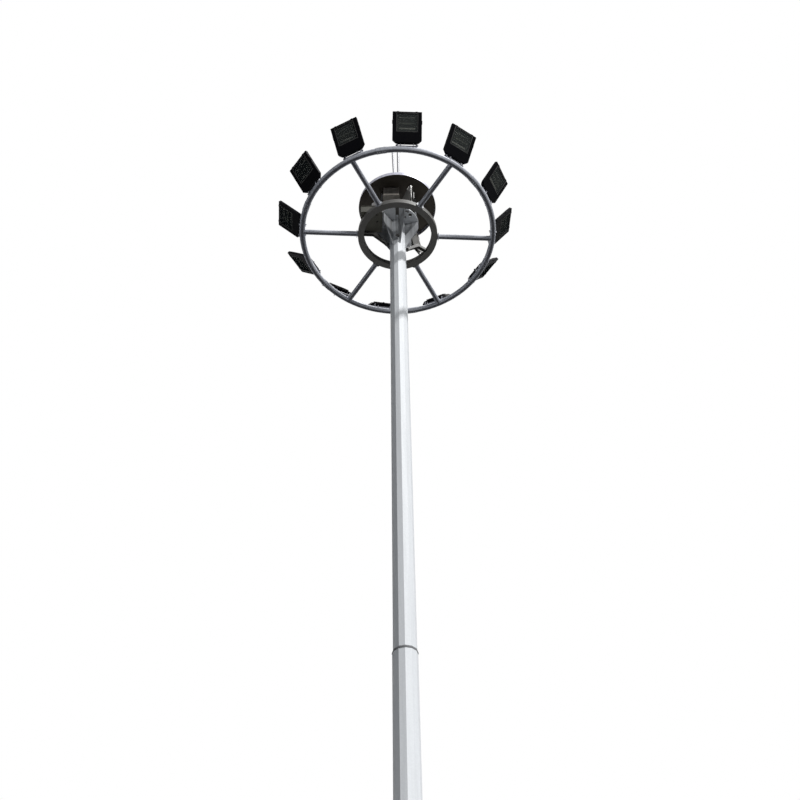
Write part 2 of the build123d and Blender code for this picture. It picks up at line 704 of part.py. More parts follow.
with BuildPart() as guide_rollers:
    for azimuth in GUIDE_AZIMUTHS:
        with BuildSketch(radial_plane(azimuth)):
            with Locations((ROLLER_AT, ROLLER_Z)):
                Circle(ROLLER_R)
        extrude(amount=GUIDE_WIDTH / 2 - GUIDE_BAR - ROLLER_GAP, both=True)
        with BuildSketch(radial_plane(azimuth)):
            with Locations((ROLLER_AT, ROLLER_Z)):
                Circle(PIN_R)
        extrude(amount=GUIDE_WIDTH / 2, both=True)
save(guide_rollers.part, "guide_rollers")

BOX_MIDDLE = ((BOX_X[0] + BOX_X[1]) / 2, (BOX_Y[0] + BOX_Y[1]) / 2)
BOX_LENGTH = BOX_X[1] - BOX_X[0]
BOX_BREADTH = BOX_Y[1] - BOX_Y[0]
with BuildPart() as junction_box:
    with BuildSketch(Plane.XY.offset(HUB_TOP)):
        with Locations(BOX_MIDDLE):
            Rectangle(BOX_LENGTH, BOX_BREADTH)
    extrude(amount=BOX_HEIGHT - BOX_LID)
    offset(amount=-BOX_WALL, openings=junction_box.faces().sort_by(Axis.Z)[-1])
save(junction_box.part, "junction_box")

with BuildPart() as junction_box_lid:
    with BuildSketch(Plane.XY.offset(BOX_TOP - BOX_LID)):
        with Locations(BOX_MIDDLE):
            Rectangle(BOX_LENGTH + 2 * BOX_LID_LAP, BOX_BREADTH + 2 * BOX_LID_LAP)
    extrude(amount=BOX_LID)
    with BuildSketch(Plane.XY.offset(BOX_TOP)):
        with Locations(polar(CABLE_AT, CABLE_AZIMUTH)):
            RegularPolygon(radius=GLAND_R, side_count=6)
    extrude(amount=GLAND_HEIGHT)
save(junction_box_lid.part, "junction_box_lid")

with BuildPart() as power_cable:
    with BuildSketch(Plane.XY.offset(BOX_TOP + GLAND_HEIGHT)):
        with Locations(polar(CABLE_AT, CABLE_AZIMUTH)):
            Circle(CABLE_R)
    extrude(amount=CABLE_SHEAVE_Z - BOX_TOP - GLAND_HEIGHT)
save(power_cable.part, "power_cable")

# ---- floodlights -----------------------------------------------------------
# In a lamp's own plane x is tangential, y runs up the panel and z is the
# direction that the glass looks in; the origin is the pivot.
YOKE_LOW = RING_TUBE_R + WELD_GAP
LUG_OUT = YOKE_WIDTH / 2 - YOKE_PLATE - LUG_GAP
PANEL_MIDDLE = PIVOT_TO_EDGE + LAMP_HEIGHT / 2
WINDOW_MIDDLE = PIVOT_TO_EDGE + LAMP_HEIGHT - WINDOW_TOP - WINDOW_HEIGHT / 2


def lamp_plane(azimuth, swivel, aim):
    heading = azimuth + swivel
    look = polar(cos(radians(aim)), heading, -sin(radians(aim)))
    return Plane(origin=polar(RING_R, azimuth, PIVOT_Z), x_dir=tangent(heading), z_dir=look)


def lamp_outline(inset, pinch=0.0):
    """Front view of a housing: a rectangle with chamfered lower corners."""
    with BuildSketch() as outline:
        with Locations((0, PANEL_MIDDLE - pinch / 2)):
            Rectangle(LAMP_WIDTH - 2 * (inset + pinch), LAMP_HEIGHT - 2 * inset - pinch)
        chamfer(outline.vertices().group_by(Axis.Y)[0], LAMP_CORNER)
    return outline.sketch


def lamp_block(plane, inset, front, back):
    """Straight-sided rim that draws in towards the back at its sides and top."""
    rim = PIVOT_TO_FRONT - LAMP_RIM
    with BuildPart() as block:
        with BuildSketch(plane.offset(rim)):
            add(lamp_outline(inset))
        extrude(amount=front - rim)
        with BuildSketch(plane.offset(rim)):
            add(lamp_outline(inset))
        with BuildSketch(plane.offset(back)):
            add(lamp_outline(inset, LAMP_PINCH))
        loft(ruled=True)
    return block.part


def lamp_housing(plane):
    """Shallow box shell with a window frame and two lugs."""
    back = PIVOT_TO_FRONT - LAMP_DEPTH
    with BuildPart() as housing:
        add(lamp_block(plane, 0, PIVOT_TO_FRONT, back))
        add(lamp_block(plane, LAMP_WALL, PIVOT_TO_FRONT - LAMP_FRONT, back + LAMP_WALL), mode=Mode.SUBTRACT)
        with BuildSketch(plane.offset(PIVOT_TO_FRONT)):
            with Locations((0, WINDOW_MIDDLE)):
                Rectangle(WINDOW_WIDTH, WINDOW_HEIGHT)
        extrude(amount=-2 * LAMP_FRONT, mode=Mode.SUBTRACT)
        for side in (-1, 1):
            lug_plane = Plane(
                origin=plane.from_local_coords((side * LUG_OUT, 0, 0)),
                x_dir=plane.y_dir,
                z_dir=plane.x_dir,
            )
            with BuildSketch(lug_plane):
                with Locations((PIVOT_TO_EDGE / 2, 0)):
                    Rectangle(PIVOT_TO_EDGE, 2 * LUG_R)
                Circle(LUG_R)
                Circle(PIN_R + PIN_GAP, mode=Mode.SUBTRACT)
            extrude(amount=-side * LUG_THICK)
    return housing.part


def lamp_glass(plane):
    """Window pane, seated against the inside of the front frame."""
    with BuildPart() as pane:
        with BuildSketch(plane.offset(PIVOT_TO_FRONT - LAMP_FRONT)):
            with Locations((0, WINDOW_MIDDLE)):
                Rectangle(WINDOW_WIDTH + 2 * GLASS_LAP, WINDOW_HEIGHT + 2 * GLASS_LAP)
        extrude(amount=-GLASS_THICK)
    return pane.part


def lamp_yoke(azimuth, heading):
    """Stirrup on the ring's crown: a base plate, two ears and their pivot pins."""
    foot = polar(RING_R, azimuth, RING_Z)
    rise = PIVOT_RISE - YOKE_LOW
    upright = Plane(origin=foot, x_dir=polar(1, heading), z_dir=-tangent(heading))
    with BuildPart() as stirrup:
        with BuildSketch(Plane(origin=foot, x_dir=tangent(heading)).offset(YOKE_LOW)):
            Rectangle(YOKE_WIDTH, YOKE_DEPTH)
        extrude(amount=YOKE_PLATE)
        for side in (-1, 1):
            face = side * (YOKE_WIDTH / 2 - YOKE_PLATE)
            with BuildSketch(upright.offset(-face)):
                with Locations((0, PIVOT_RISE - rise / 2)):
                    Rectangle(2 * YOKE_ARM_R, rise)
                with Locations((0, PIVOT_RISE)):
                    Circle(YOKE_ARM_R)
            extrude(amount=-side * YOKE_PLATE)
            with BuildSketch(upright.offset(-face)):
                with Locations((0, PIVOT_RISE)):
                    Circle(PIN_R)
            extrude(amount=side * (LUG_THICK + LUG_GAP))
    return stirrup.part


yokes = [lamp_yoke(azimuth, azimuth + swivel) for azimuth, swivel, aim in LAMP_SETTINGS]
with BuildPart() as floodlight_yokes:
    for yoke in yokes:
        add(yoke)
save(floodlight_yokes.part, "floodlight_yokes")

for i, setting in enumerate(LAMP_SETTINGS):
    save(lamp_housing(lamp_plane(*setting)), f"floodlight_{i + 1:02d}_housing")
    save(lamp_glass(lamp_plane(*setting)), f"floodlight_{i + 1:02d}_glass")
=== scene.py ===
import json
import math

import bmesh
import bpy
from mathutils import Matrix, Vector


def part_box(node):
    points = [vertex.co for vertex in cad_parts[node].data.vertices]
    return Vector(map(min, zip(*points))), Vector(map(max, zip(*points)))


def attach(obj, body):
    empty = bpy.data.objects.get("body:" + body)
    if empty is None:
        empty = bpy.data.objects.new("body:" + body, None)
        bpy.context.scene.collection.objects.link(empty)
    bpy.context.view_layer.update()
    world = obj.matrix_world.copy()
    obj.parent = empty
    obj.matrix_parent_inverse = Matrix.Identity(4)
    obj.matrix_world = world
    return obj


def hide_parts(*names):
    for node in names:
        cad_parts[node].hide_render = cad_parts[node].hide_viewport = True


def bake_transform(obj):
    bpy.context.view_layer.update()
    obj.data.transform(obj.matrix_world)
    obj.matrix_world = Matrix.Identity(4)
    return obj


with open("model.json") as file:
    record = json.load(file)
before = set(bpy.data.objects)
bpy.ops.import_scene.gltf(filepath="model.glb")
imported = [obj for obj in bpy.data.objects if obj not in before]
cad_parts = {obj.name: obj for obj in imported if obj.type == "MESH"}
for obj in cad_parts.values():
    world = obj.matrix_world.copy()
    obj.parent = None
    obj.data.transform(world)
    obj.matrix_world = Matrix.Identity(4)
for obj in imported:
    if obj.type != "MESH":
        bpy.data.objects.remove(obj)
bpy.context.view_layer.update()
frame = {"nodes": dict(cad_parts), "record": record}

bl_info = {
    "name": "High Mast Floodlight Tower",
    "version": (1, 1, 0),
    "blender": (4, 5, 0),
    "location": "View3D > Sidebar > Tower",
    "description": "Dresses the packed tower frame with its finishes and small fittings",
    "category": "Object",
}


def lowest(node):
    """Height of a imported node's lowest point, to a tenth of a millimetre."""
    return round(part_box(node)[0][2], 4)


def highest(node):
    """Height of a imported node's highest point, to a tenth of a millimetre."""
    return round(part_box(node)[1][2], 4)


# Heights that the fittings take from the frame, in metres.
HEAD_Z = lowest("head_plate")
JOINT_Z = highest("mast_lower_section")
CANOPY_Z = lowest("canopy")
RODS_Z = lowest("slim_pole")
RING_Z = (lowest("inner_ring") + highest("inner_ring")) / 2
BOX_TOP_Z = highest("junction_box")
ROPE_LOW, ROPE_HIGH = lowest("hoist_ropes"), highest("hoist_ropes")
CABLE_LOW, CABLE_HIGH = lowest("power_cable"), highest("power_cable")

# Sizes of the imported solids, in metres, and azimuths, in degrees from +X towards +Y.
MAST_SIDES = 12
DOOR_AZIMUTH, DOOR_FACE = 285.0, 0.154    # the door's face stands this far from the mast's axis
RING_R, RING_TUBE = 1.600, 0.048
HUB_IN, HUB_OUT = 0.565, 0.667
SPOKES, SPOKE_TUBE = tuple(3.5 + 60.0 * i for i in range(6)), 0.0425
SPLICE_OFFSET = 18.0
HOISTS, ROPE_AT = (53.0, 173.0, 293.0), 0.616
SHEAVES_AT = (0.100, ROPE_AT - 0.080)
CABLE_AZIMUTH, CABLE_AT = 208.6, 0.492
GUIDES, ROLLER_AT, ROLLER_Z = (34.0, 184.0, 270.0), 0.185, 16.330
CANOPY_R = 0.662
CANOPY_POSTS, POST_AT = (98.0, 218.0, 338.0), 0.335
PIVOT_RISE, YOKE_EAR = 0.130, 0.160
LAMP_HIGHEST = 5.0                # a floodlight tilts up to this many degrees below the horizontal

# Places on a floodlight, from its pivot: x along the pivots, y up its face, z out of its glass.
WINDOW_WIDE, WINDOW_TALL, WINDOW_Y = 0.330, 0.320, 0.389
FACE_Z = 0.040                    # front of the housing, which the gasket lies on

ZINC = "galvanised_steel"
UP = Vector((0, 0, 1))


# ---------------------------------------------------------------- properties
class TowerFinishes(bpy.types.PropertyGroup):
    """Colours of the tower's finishes"""

    mast: bpy.props.FloatVectorProperty(
        name="Mast zinc", description="Weathered zinc of the mast and its head",
        subtype="COLOR", size=3, min=0, max=1, default=(0.65, 0.67, 0.69))
    ring: bpy.props.FloatVectorProperty(
        name="Ring zinc", description="Zinc of the ring tube and the spokes",
        subtype="COLOR", size=3, min=0, max=1, default=(0.70, 0.72, 0.78))
    # The inner ring's colour is dull zinc, made darker still as painted shade.
    hub_zinc_and_painted_shade: bpy.props.FloatVectorProperty(
        name="Inner ring", description="Dull, dirty zinc of the inner ring",
        subtype="COLOR", size=3, min=0, max=1, default=(0.115, 0.112, 0.105))
    canopy: bpy.props.FloatVectorProperty(
        name="Canopy", description="Aluminium sheet of the canopy, outside",
        subtype="COLOR", size=3, min=0, max=1, default=(0.58, 0.58, 0.68))
    # The canopy's inside colour is painted shade.
    under: bpy.props.FloatVectorProperty(
        name="Canopy inside", description="Soot and dust on the canopy's inside",
        subtype="COLOR", size=3, min=0, max=1, default=(0.068, 0.058, 0.045))
    lamp: bpy.props.FloatVectorProperty(
        name="Lamp coat", description="Powder coat of the floodlights",
        subtype="COLOR", size=3, min=0, max=1, default=(0.0065, 0.0065, 0.008))
    grime: bpy.props.FloatProperty(
        name="Grime", description="Share of the surface under rain streaks",
        subtype="FACTOR", min=0, max=1, default=0.55)


class TowerStage(bpy.types.PropertyGroup):
    """Light, floor and camera"""

    floor_radius: bpy.props.FloatProperty(
        name="Floor radius", description="Radius of the pale floor",
        default=6.5, min=1.0, max=60.0, unit="LENGTH")
    sun_elevation: bpy.props.FloatProperty(
        name="Key elevation", description="Height of the key light above the horizon",
        default=math.radians(57), subtype="ANGLE")
    sun_azimuth: bpy.props.FloatProperty(
        name="Key azimuth", description="Direction of the key light, from +X towards +Y",
        default=math.radians(322), subtype="ANGLE")
    sun_strength: bpy.props.FloatProperty(
        name="Key strength", description="Irradiance of the key light", default=3.8, min=0.0)
    fill_strength: bpy.props.FloatProperty(
        name="Fill strength", description="Irradiance of the low fill light", default=1.6, min=0.0)
    ambient: bpy.props.FloatProperty(
        name="Ambient", description="Level of the soft light from all round", default=0.07, min=0.0)
    camera_place: bpy.props.FloatVectorProperty(
        name="Camera place", description="Where the viewer stands",
        default=(-0.009, -9.787, 1.6), subtype="TRANSLATION", size=3)
    camera_pitch: bpy.props.FloatProperty(
        name="Camera pitch", description="Line of sight above the horizon",
        default=math.radians(48.008), subtype="ANGLE")
    camera_roll: bpy.props.FloatProperty(
        name="Camera roll", description="Turn about the line of sight",
        default=0.0173, subtype="ANGLE")
    lens: bpy.props.FloatProperty(
        name="Lens", description="Focal length in millimetres on a 36 mm sensor",
        default=47.406, min=10.0, max=300.0)


# ----------------------------------------------------------- shared textures
STREAK_STRETCH = 0.045            # streaks run down the part: noise that is stretched along z
STREAK_RANGE = (0.46, 0.72)       # noise from which a streak starts, and at which it is full
PATCH_SCALE = 1.7
BUMP_DEPTH = 0.002


def weather_group():
    """Shared group: zinc grain, crystal facets, rain streaks, broad patches and a bump normal."""
    tree = bpy.data.node_groups.get("Weather")
    if tree:
        return tree
    tree = bpy.data.node_groups.new("Weather", "ShaderNodeTree")
    sockets = tree.interface
    sockets.new_socket("Position", in_out="INPUT", socket_type="NodeSocketVector")
    sockets.new_socket("Grain Scale", in_out="INPUT", socket_type="NodeSocketFloat").default_value = 90.0
    sockets.new_socket("Streak Scale", in_out="INPUT", socket_type="NodeSocketFloat").default_value = 26.0
    sockets.new_socket("Bump", in_out="INPUT", socket_type="NodeSocketFloat").default_value = 0.1
    for label in ("Grain", "Facets", "Streaks", "Patches"):
        sockets.new_socket(label, in_out="OUTPUT", socket_type="NodeSocketFloat")
    sockets.new_socket("Normal", in_out="OUTPUT", socket_type="NodeSocketVector")
    add, link = tree.nodes.new, tree.links.new
    source, sink = add("NodeGroupInput"), add("NodeGroupOutput")

    grain = add("ShaderNodeTexNoise")
    grain.inputs["Detail"].default_value = 5.0
    link(source.outputs["Position"], grain.inputs["Vector"])
    link(source.outputs["Grain Scale"], grain.inputs["Scale"])
    link(grain.outputs["Fac"], sink.inputs["Grain"])

    cells = add("ShaderNodeTexVoronoi")
    link(source.outputs["Position"], cells.inputs["Vector"])
    link(source.outputs["Grain Scale"], cells.inputs["Scale"])
    tone = add("ShaderNodeRGBToBW")
    link(cells.outputs["Color"], tone.inputs[0])
    link(tone.outputs[0], sink.inputs["Facets"])

    stretch = add("ShaderNodeVectorMath")
    stretch.operation = "MULTIPLY"
    stretch.inputs[1].default_value = (1.0, 1.0, STREAK_STRETCH)
    link(source.outputs["Position"], stretch.inputs[0])
    streaks = add("ShaderNodeTexNoise")
    streaks.inputs["Detail"].default_value = 4.0
    link(stretch.outputs[0], streaks.inputs["Vector"])
    link(source.outputs["Streak Scale"], streaks.inputs["Scale"])
    narrow = add("ShaderNodeMapRange")
    narrow.inputs["From Min"].default_value = STREAK_RANGE[0]
    narrow.inputs["From Max"].default_value = STREAK_RANGE[1]
    link(streaks.outputs["Fac"], narrow.inputs["Value"])
    link(narrow.outputs["Result"], sink.inputs["Streaks"])

    patches = add("ShaderNodeTexNoise")
    patches.inputs["Scale"].default_value = PATCH_SCALE
    patches.inputs["Detail"].default_value = 3.0
    link(source.outputs["Position"], patches.inputs["Vector"])
    link(patches.outputs["Fac"], sink.inputs["Patches"])

    bump = add("ShaderNodeBump")
    bump.inputs["Distance"].default_value = BUMP_DEPTH
    link(grain.outputs["Fac"], bump.inputs["Height"])
    link(source.outputs["Bump"], bump.inputs["Strength"])
    link(bump.outputs["Normal"], sink.inputs["Normal"])
    return tree


class Finish:
    """A weathered procedural material, built once and asked for by name.

    color and shade mix by the crystal facets, and dirt lies over both in rain streaks. The roughness varies
    round rough with the grain. grain and streak are scales, as rough counts of features to the metre.
    """

    made = {}
    # How far the roughness goes below and above rough.
    smoother, rougher = 0.12, 0.14

    def __init__(self, name, color, shade, *, metallic=0.0, rough=0.5, grain=90.0, streak=26.0,
                 grime=0.4, dirt=(0.10, 0.095, 0.085), bump=0.12, facets=0.45, specular=0.25):
        material = bpy.data.materials.new(name)
        material.use_nodes = True
        tree = material.node_tree
        self.tree = tree
        self.shader = tree.nodes["Principled BSDF"]
        self.place = tree.nodes.new("ShaderNodeTexCoord")
        self.weather = tree.nodes.new("ShaderNodeGroup")
        self.weather.node_tree = weather_group()
        tree.links.new(self.place.outputs["Object"], self.weather.inputs["Position"])
        self.weather.inputs["Grain Scale"].default_value = grain
        self.weather.inputs["Streak Scale"].default_value = streak
        self.weather.inputs["Bump"].default_value = bump
        crystals = self.mix(self.scaled("Facets", facets), color, shade)
        self.color = self.mix(self.scaled("Streaks", grime), crystals, dirt)
        tree.links.new(self.color, self.shader.inputs["Base Color"])
        spread = tree.nodes.new("ShaderNodeMapRange")
        spread.inputs["To Min"].default_value = max(0.02, rough - self.smoother)
        spread.inputs["To Max"].default_value = min(1.0, rough + self.rougher)
        tree.links.new(self.weather.outputs["Grain"], spread.inputs["Value"])
        tree.links.new(spread.outputs["Result"], self.shader.inputs["Roughness"])
        tree.links.new(self.weather.outputs["Normal"], self.shader.inputs["Normal"])
        self.shader.inputs["Metallic"].default_value = metallic
        self.shader.inputs["Specular IOR Level"].default_value = specular
        Finish.made[name] = material

    def scaled(self, output, amount):
        """One of the weather group's masks, times an amount."""
        node = self.tree.nodes.new("ShaderNodeMath")
        node.operation = "MULTIPLY"
        node.inputs[1].default_value = amount
        self.tree.links.new(self.weather.outputs[output], node.inputs[0])
        return node.outputs[0]

    def mix(self, factor, first, second):
        """Colour between two colours or colour sockets, by a mask."""
        node = self.tree.nodes.new("ShaderNodeMix")
        node.data_type = "RGBA"
        self.tree.links.new(factor, node.inputs[0])
        for value, socket in ((first, node.inputs[6]), (second, node.inputs[7])):
            if isinstance(value, bpy.types.NodeSocket):
                self.tree.links.new(value, socket)
            else:
                socket.default_value = (*value, 1)
        return node.outputs[2]

    def by_facing(self, start, end):
        """Mask by how far a face of the part looks up (1) or down (-1): 0 at start, 1 at end."""
        parts = self.tree.nodes.new("ShaderNodeSeparateXYZ")
        self.tree.links.new(self.place.outputs["Normal"], parts.inputs[0])
        mask = self.tree.nodes.new("ShaderNodeMapRange")
        mask.inputs["From Min"].default_value = start
        mask.inputs["From Max"].default_value = end
        self.tree.links.new(parts.outputs["Z"], mask.inputs["Value"])
        return mask.outputs["Result"]

    def layer(self, mask, over):
        """Lays another colour over the finish where the mask says so."""
        self.color = self.mix(mask, self.color, over)
        self.tree.links.new(self.color, self.shader.inputs["Base Color"])


def dimmed(color, share):
    """The same colour, darker or lighter by a share."""
    return tuple(share * part for part in color)


# ------------------------------------------------------------ shape helpers
def radial(azimuth, radius=1.0, height=0.0):
    """Point at a radius from the mast's axis; without one, the direction outwards."""
    turn = math.radians(azimuth)
    return Vector((radius * math.cos(turn), radius * math.sin(turn), height))


def across(azimuth):
    """Direction along the ring at an azimuth."""
    return radial(azimuth + 90.0)


def basis(origin, x_axis, z_axis):
    """Placing of a part by its origin, its x axis and its z axis."""
    y_axis = z_axis.cross(x_axis)
    return Matrix.Translation(origin) @ Matrix((x_axis, y_axis, z_axis)).transposed().to_4x4()


def facing(origin, axis):
    """Placing of a round part by its origin and its z axis."""
    return Matrix.Translation(origin) @ axis.to_track_quat("Z", "Y").to_matrix().to_4x4()


def absorb(shape, part, matrix):
    """Adds a finished part to a larger shape, in the part's own place."""
    bmesh.ops.transform(part, matrix=matrix, verts=part.verts[:])
    bmesh.ops.recalc_face_normals(part, faces=part.faces[:])
    scratch = bpy.data.meshes.new("scratch")
    part.to_mesh(scratch)
    part.free()
    shape.from_mesh(scratch)
    bpy.data.meshes.remove(scratch)


def rod(shape, start, end, radius, segments=16, end_radius=None):
    """Adds a closed round bar, or a cone where end_radius is given."""
    along = end - start
    part = bmesh.new()
    bmesh.ops.create_cone(part, cap_ends=True, segments=segments, radius1=radius,
                          radius2=radius if end_radius is None else end_radius, depth=along.length)
    absorb(shape, part, facing((start + end) / 2, along.normalized()))


def block(shape, matrix, size, soften=0.0):
    """Adds a box by its middle and its size, with its edges rounded by soften."""
    part = bmesh.new()
    bmesh.ops.create_cube(part, size=1.0, matrix=Matrix.Diagonal((*size, 1.0)))
    if soften:
        bmesh.ops.bevel(part, geom=part.edges[:], offset=soften, affect="EDGES", segments=2,
                        profile=0.5, material=-1)
    absorb(shape, part, matrix)


def lathe(shape, profile, matrix, steps=24, angle=math.tau):
    """Turns a closed profile of (radius, height) about the matrix's z axis."""
    part = bmesh.new()
    points = [part.verts.new((radius, 0.0, height)) for radius, height in profile]
    face = part.faces.new(points)
    if angle >= math.tau:
        edges = face.edges[:]
        bmesh.ops.delete(part, geom=[face], context="FACES_ONLY")
        bmesh.ops.spin(part, geom=points + edges, axis=(0, 0, 1), cent=(0, 0, 0), angle=angle,
                       steps=steps, use_merge=True)
    else:
        bmesh.ops.spin(part, geom=[face], axis=(0, 0, 1), cent=(0, 0, 0), angle=angle, steps=steps)
        bmesh.ops.remove_doubles(part, verts=part.verts[:], dist=1e-6)
    absorb(shape, part, matrix)


def bead(radius, thick, sides=6):
    """Round profile of a weld bead or a bent bar, for lathe."""
    return [(radius + thick * math.cos(math.tau * i / sides), thick * math.sin(math.tau * i / sides))
            for i in range(sides)]


def nut(shape, origin, axis, size, stud=0.0):
    """Adds a washer, a hexagon and, where asked for, the rounded end of its stud."""
    rod(shape, origin, origin + axis * size * 0.2, size * 1.3, 20)
    rod(shape, origin + axis * size * 0.2, origin + axis * size * 0.95, size, 6)
    if stud:
        base = origin + axis * size * 0.95
        rod(shape, base, base + axis * stud * 0.7, size * 0.55, 12)
        rod(shape, base + axis * stud * 0.7, base + axis * stud, size * 0.55, 12, size * 0.38)


def turned(shape, outline, matrix, steps=20):
    """Turns an open outline of (radius, height), which starts and ends on the z axis, into a closed form."""
    part = bmesh.new()
    points = [part.verts.new((radius, 0.0, height)) for radius, height in outline]
    edges = [part.edges.new(pair) for pair in zip(points, points[1:])]
    bmesh.ops.spin(part, geom=points + edges, axis=(0, 0, 1), cent=(0, 0, 0), angle=math.tau, steps=steps,
                   use_merge=True)
    bmesh.ops.remove_doubles(part, verts=part.verts[:], dist=1e-6)
    absorb(shape, part, matrix)


def gland(shape, origin, axis, radius):
    """Adds a cable gland: hexagon foot, round body and domed cap."""
    rod(shape, origin, origin + axis * radius * 0.5, radius * 1.25, 6)
    turned(shape, [(0.0, 0.0), (radius, 0.0), (radius, radius * 0.7), (radius * 0.8, radius * 1.3),
                   (radius * 0.45, radius * 1.5), (0.0, radius * 1.5)],
           facing(origin + axis * radius * 0.5, axis))


def piece(name, shape, finish, body=None, crease=35.0):
    """Turns a shape into a named object with a finish, riding on a body."""
    if not shape.faces:
        raise RuntimeError(f"{name} has no faces")
    mesh = bpy.data.meshes.new(name)
    shape.to_mesh(mesh)
    shape.free()
    mesh.shade_smooth()
    mesh.set_sharp_from_angle(angle=math.radians(crease))
    mesh.materials.append(Finish.made[finish])
    made = bpy.data.objects.new(name, mesh)
    bpy.context.scene.collection.objects.link(made)
    if body:
        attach(made, body)
    return made


def outwards(tangent):
    """Level direction that a floodlight heads in, from the direction along its pivots."""
    return Vector((tangent.y, -tangent.x, 0.0))


def lamps():
    """Each floodlight's body with its pivot, the direction along its pivots and its panel's place."""
    for joint in frame["record"]["behaviour"]["joints"]:
        if joint["child"].startswith("floodlight_"):
            aim = math.radians(LAMP_HIGHEST - joint["range_deg"][0])
            tangent = Vector(joint["axis"]).normalized()
            look = outwards(tangent) * math.cos(aim) - UP * math.sin(aim)
            pivot = Vector(joint["pos_m"])
            yield joint["child"], pivot, tangent, basis(pivot, tangent, look)


# ----------------------------------------------------------------- finishes
class TOWER_OT_finishes(bpy.types.Operator):
    """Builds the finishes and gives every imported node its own"""

    bl_idname = "tower.finishes"
    bl_label = "Finishes"
    # Nodes with their own finish instead of their slot's: the pulley arms' zinc is more weathered, and the
    # gussets' zinc is the mast's made darker as painted shade.
    aged_and_painted_shade = {"head_gussets": "gusset_zinc_painted_shade", "pulley_arms": "arm_zinc"}

    def execute(self, context):
        colors = context.scene.tower_finishes
        self.steels(colors)
        self.paints(colors)
        self.lamp_parts()
        self.canopy_sheet(colors)
        self.glass()
        slots = {part["node"]: part["material_slot"] for part in frame["record"]["subparts"]}
        for node, made in frame["nodes"].items():
            made.data.materials.clear()
            made.data.materials.append(Finish.made[self.aged_and_painted_shade.get(node, slots[node])])
        return {"FINISHED"}

    def steels(self, colors):
        """Zinc coats, turned steel and wire. The ring's tubes have painted shade, darker in patches, on faces
        that look down.
        """
        grime, mast, ring = colors.grime, tuple(colors.mast), tuple(colors.ring)
        Finish("mast_steel", mast, dimmed(mast, 0.88), metallic=0.03, rough=0.50, grain=55.0, streak=22.0,
               grime=0.30 * grime, dirt=(0.34, 0.36, 0.38), bump=0.08, facets=0.5)
        Finish(ZINC, (0.46, 0.47, 0.49), (0.34, 0.35, 0.37), metallic=0.08, rough=0.50, grain=80.0,
               streak=30.0, grime=grime)
        # The gussets' zinc is the mast's zinc made darker: painted shade.
        Finish("gusset_zinc_painted_shade", dimmed(mast, 0.74), dimmed(mast, 0.62), metallic=0.03, rough=0.52, grain=60.0,
               streak=20.0, grime=grime)
        Finish("arm_zinc", (0.25, 0.245, 0.23), (0.18, 0.175, 0.165), metallic=0.05, rough=0.50, grain=80.0,
               streak=22.0, grime=grime)
        tube = Finish("ring_steel", ring, dimmed(ring, 0.80), metallic=0.02, rough=0.34, grain=70.0,
                      streak=34.0, grime=0.4 * grime, specular=0.08)
        # Painted shade: the tubes' faces that look down are darkened, more in some patches than others.
        painted_tube_shade = tube.mix(tube.scaled("Patches", 1.0), (0.080, 0.082, 0.095), (0.170, 0.170, 0.185))
        tube.layer(tube.by_facing(-0.78, -0.97), painted_tube_shade)
        # Dull zinc of the inner ring, darkened further as painted shade.
        Finish("hub_steel", tuple(colors.hub_zinc_and_painted_shade), dimmed(colors.hub_zinc_and_painted_shade, 0.65), metallic=0.03, rough=0.58,
               grain=60.0, streak=18.0, grime=grime)
        Finish("yoke_steel", (0.27, 0.275, 0.31), (0.20, 0.205, 0.235), metallic=0.03, rough=0.42,
               grain=120.0, streak=40.0, grime=0.6 * grime, specular=0.15)
        Finish("sheave_steel", (0.62, 0.62, 0.62), (0.46, 0.45, 0.43), metallic=0.60, rough=0.34, grain=140.0,
               streak=60.0)
        Finish("rod_steel", (0.36, 0.36, 0.38), (0.28, 0.28, 0.29), metallic=0.08, rough=0.42, grain=160.0,
               streak=60.0, grime=0.35)
        Finish("wire_rope", (0.50, 0.50, 0.48), (0.36, 0.35, 0.33), metallic=0.70, rough=0.38, grain=400.0,
               streak=80.0, grime=0.5)

    def paints(self, colors):
        """Powder coats, rubber, and the mast joint's dark bead, whose grey is also painted shade. The
        floodlights' coat is dusty on faces that look up.
        """
        Finish("box_steel", (0.46, 0.43, 0.38), (0.40, 0.37, 0.33), rough=0.55, grain=240.0, streak=24.0,
               grime=0.35, dirt=(0.20, 0.18, 0.15), bump=0.10, facets=0.3)
        Finish("junction_paint", (0.080, 0.078, 0.062), (0.055, 0.055, 0.042), rough=0.55, grain=240.0,
               streak=24.0, grime=0.5, dirt=(0.050, 0.046, 0.034), bump=0.10, facets=0.5)
        lamp = tuple(colors.lamp)
        coat = Finish("lamp_black", lamp, dimmed(lamp, 1.6), rough=0.42, grain=420.0, streak=30.0, grime=0.30,
                      dirt=(0.013, 0.012, 0.011), bump=0.05, facets=0.5, specular=0.01)
        dust = coat.mix(coat.scaled("Grain", 1.0), (0.020, 0.019, 0.018), (0.085, 0.080, 0.072))
        coat.layer(coat.by_facing(0.15, 0.65), dust)
        Finish("cable_rubber", (0.030, 0.030, 0.033), (0.045, 0.045, 0.047), rough=0.62, grain=300.0,
               streak=60.0, grime=0.3, dirt=(0.09, 0.085, 0.075), bump=0.10)
        Finish("roller_rubber", (0.050, 0.050, 0.050), (0.075, 0.073, 0.070), rough=0.75, grain=220.0,
               streak=60.0, dirt=(0.14, 0.135, 0.125), bump=0.20)
        # Dark grey of the mast joint's bead: sealant, and painted shade of the gap under the joint.
        Finish("sealant_and_painted_shade", (0.16, 0.165, 0.17), (0.12, 0.12, 0.125), rough=0.70, grain=260.0, streak=50.0,
               grime=0.3)

    def lamp_parts(self):
        """What stands behind each glass, all of it without gloss. Its pale strips are painted highlight."""
        Finish("reflector", (0.110, 0.114, 0.096), (0.086, 0.090, 0.076), rough=0.38, grain=200.0,
               streak=40.0, grime=0.2, bump=0.02, specular=0.0)
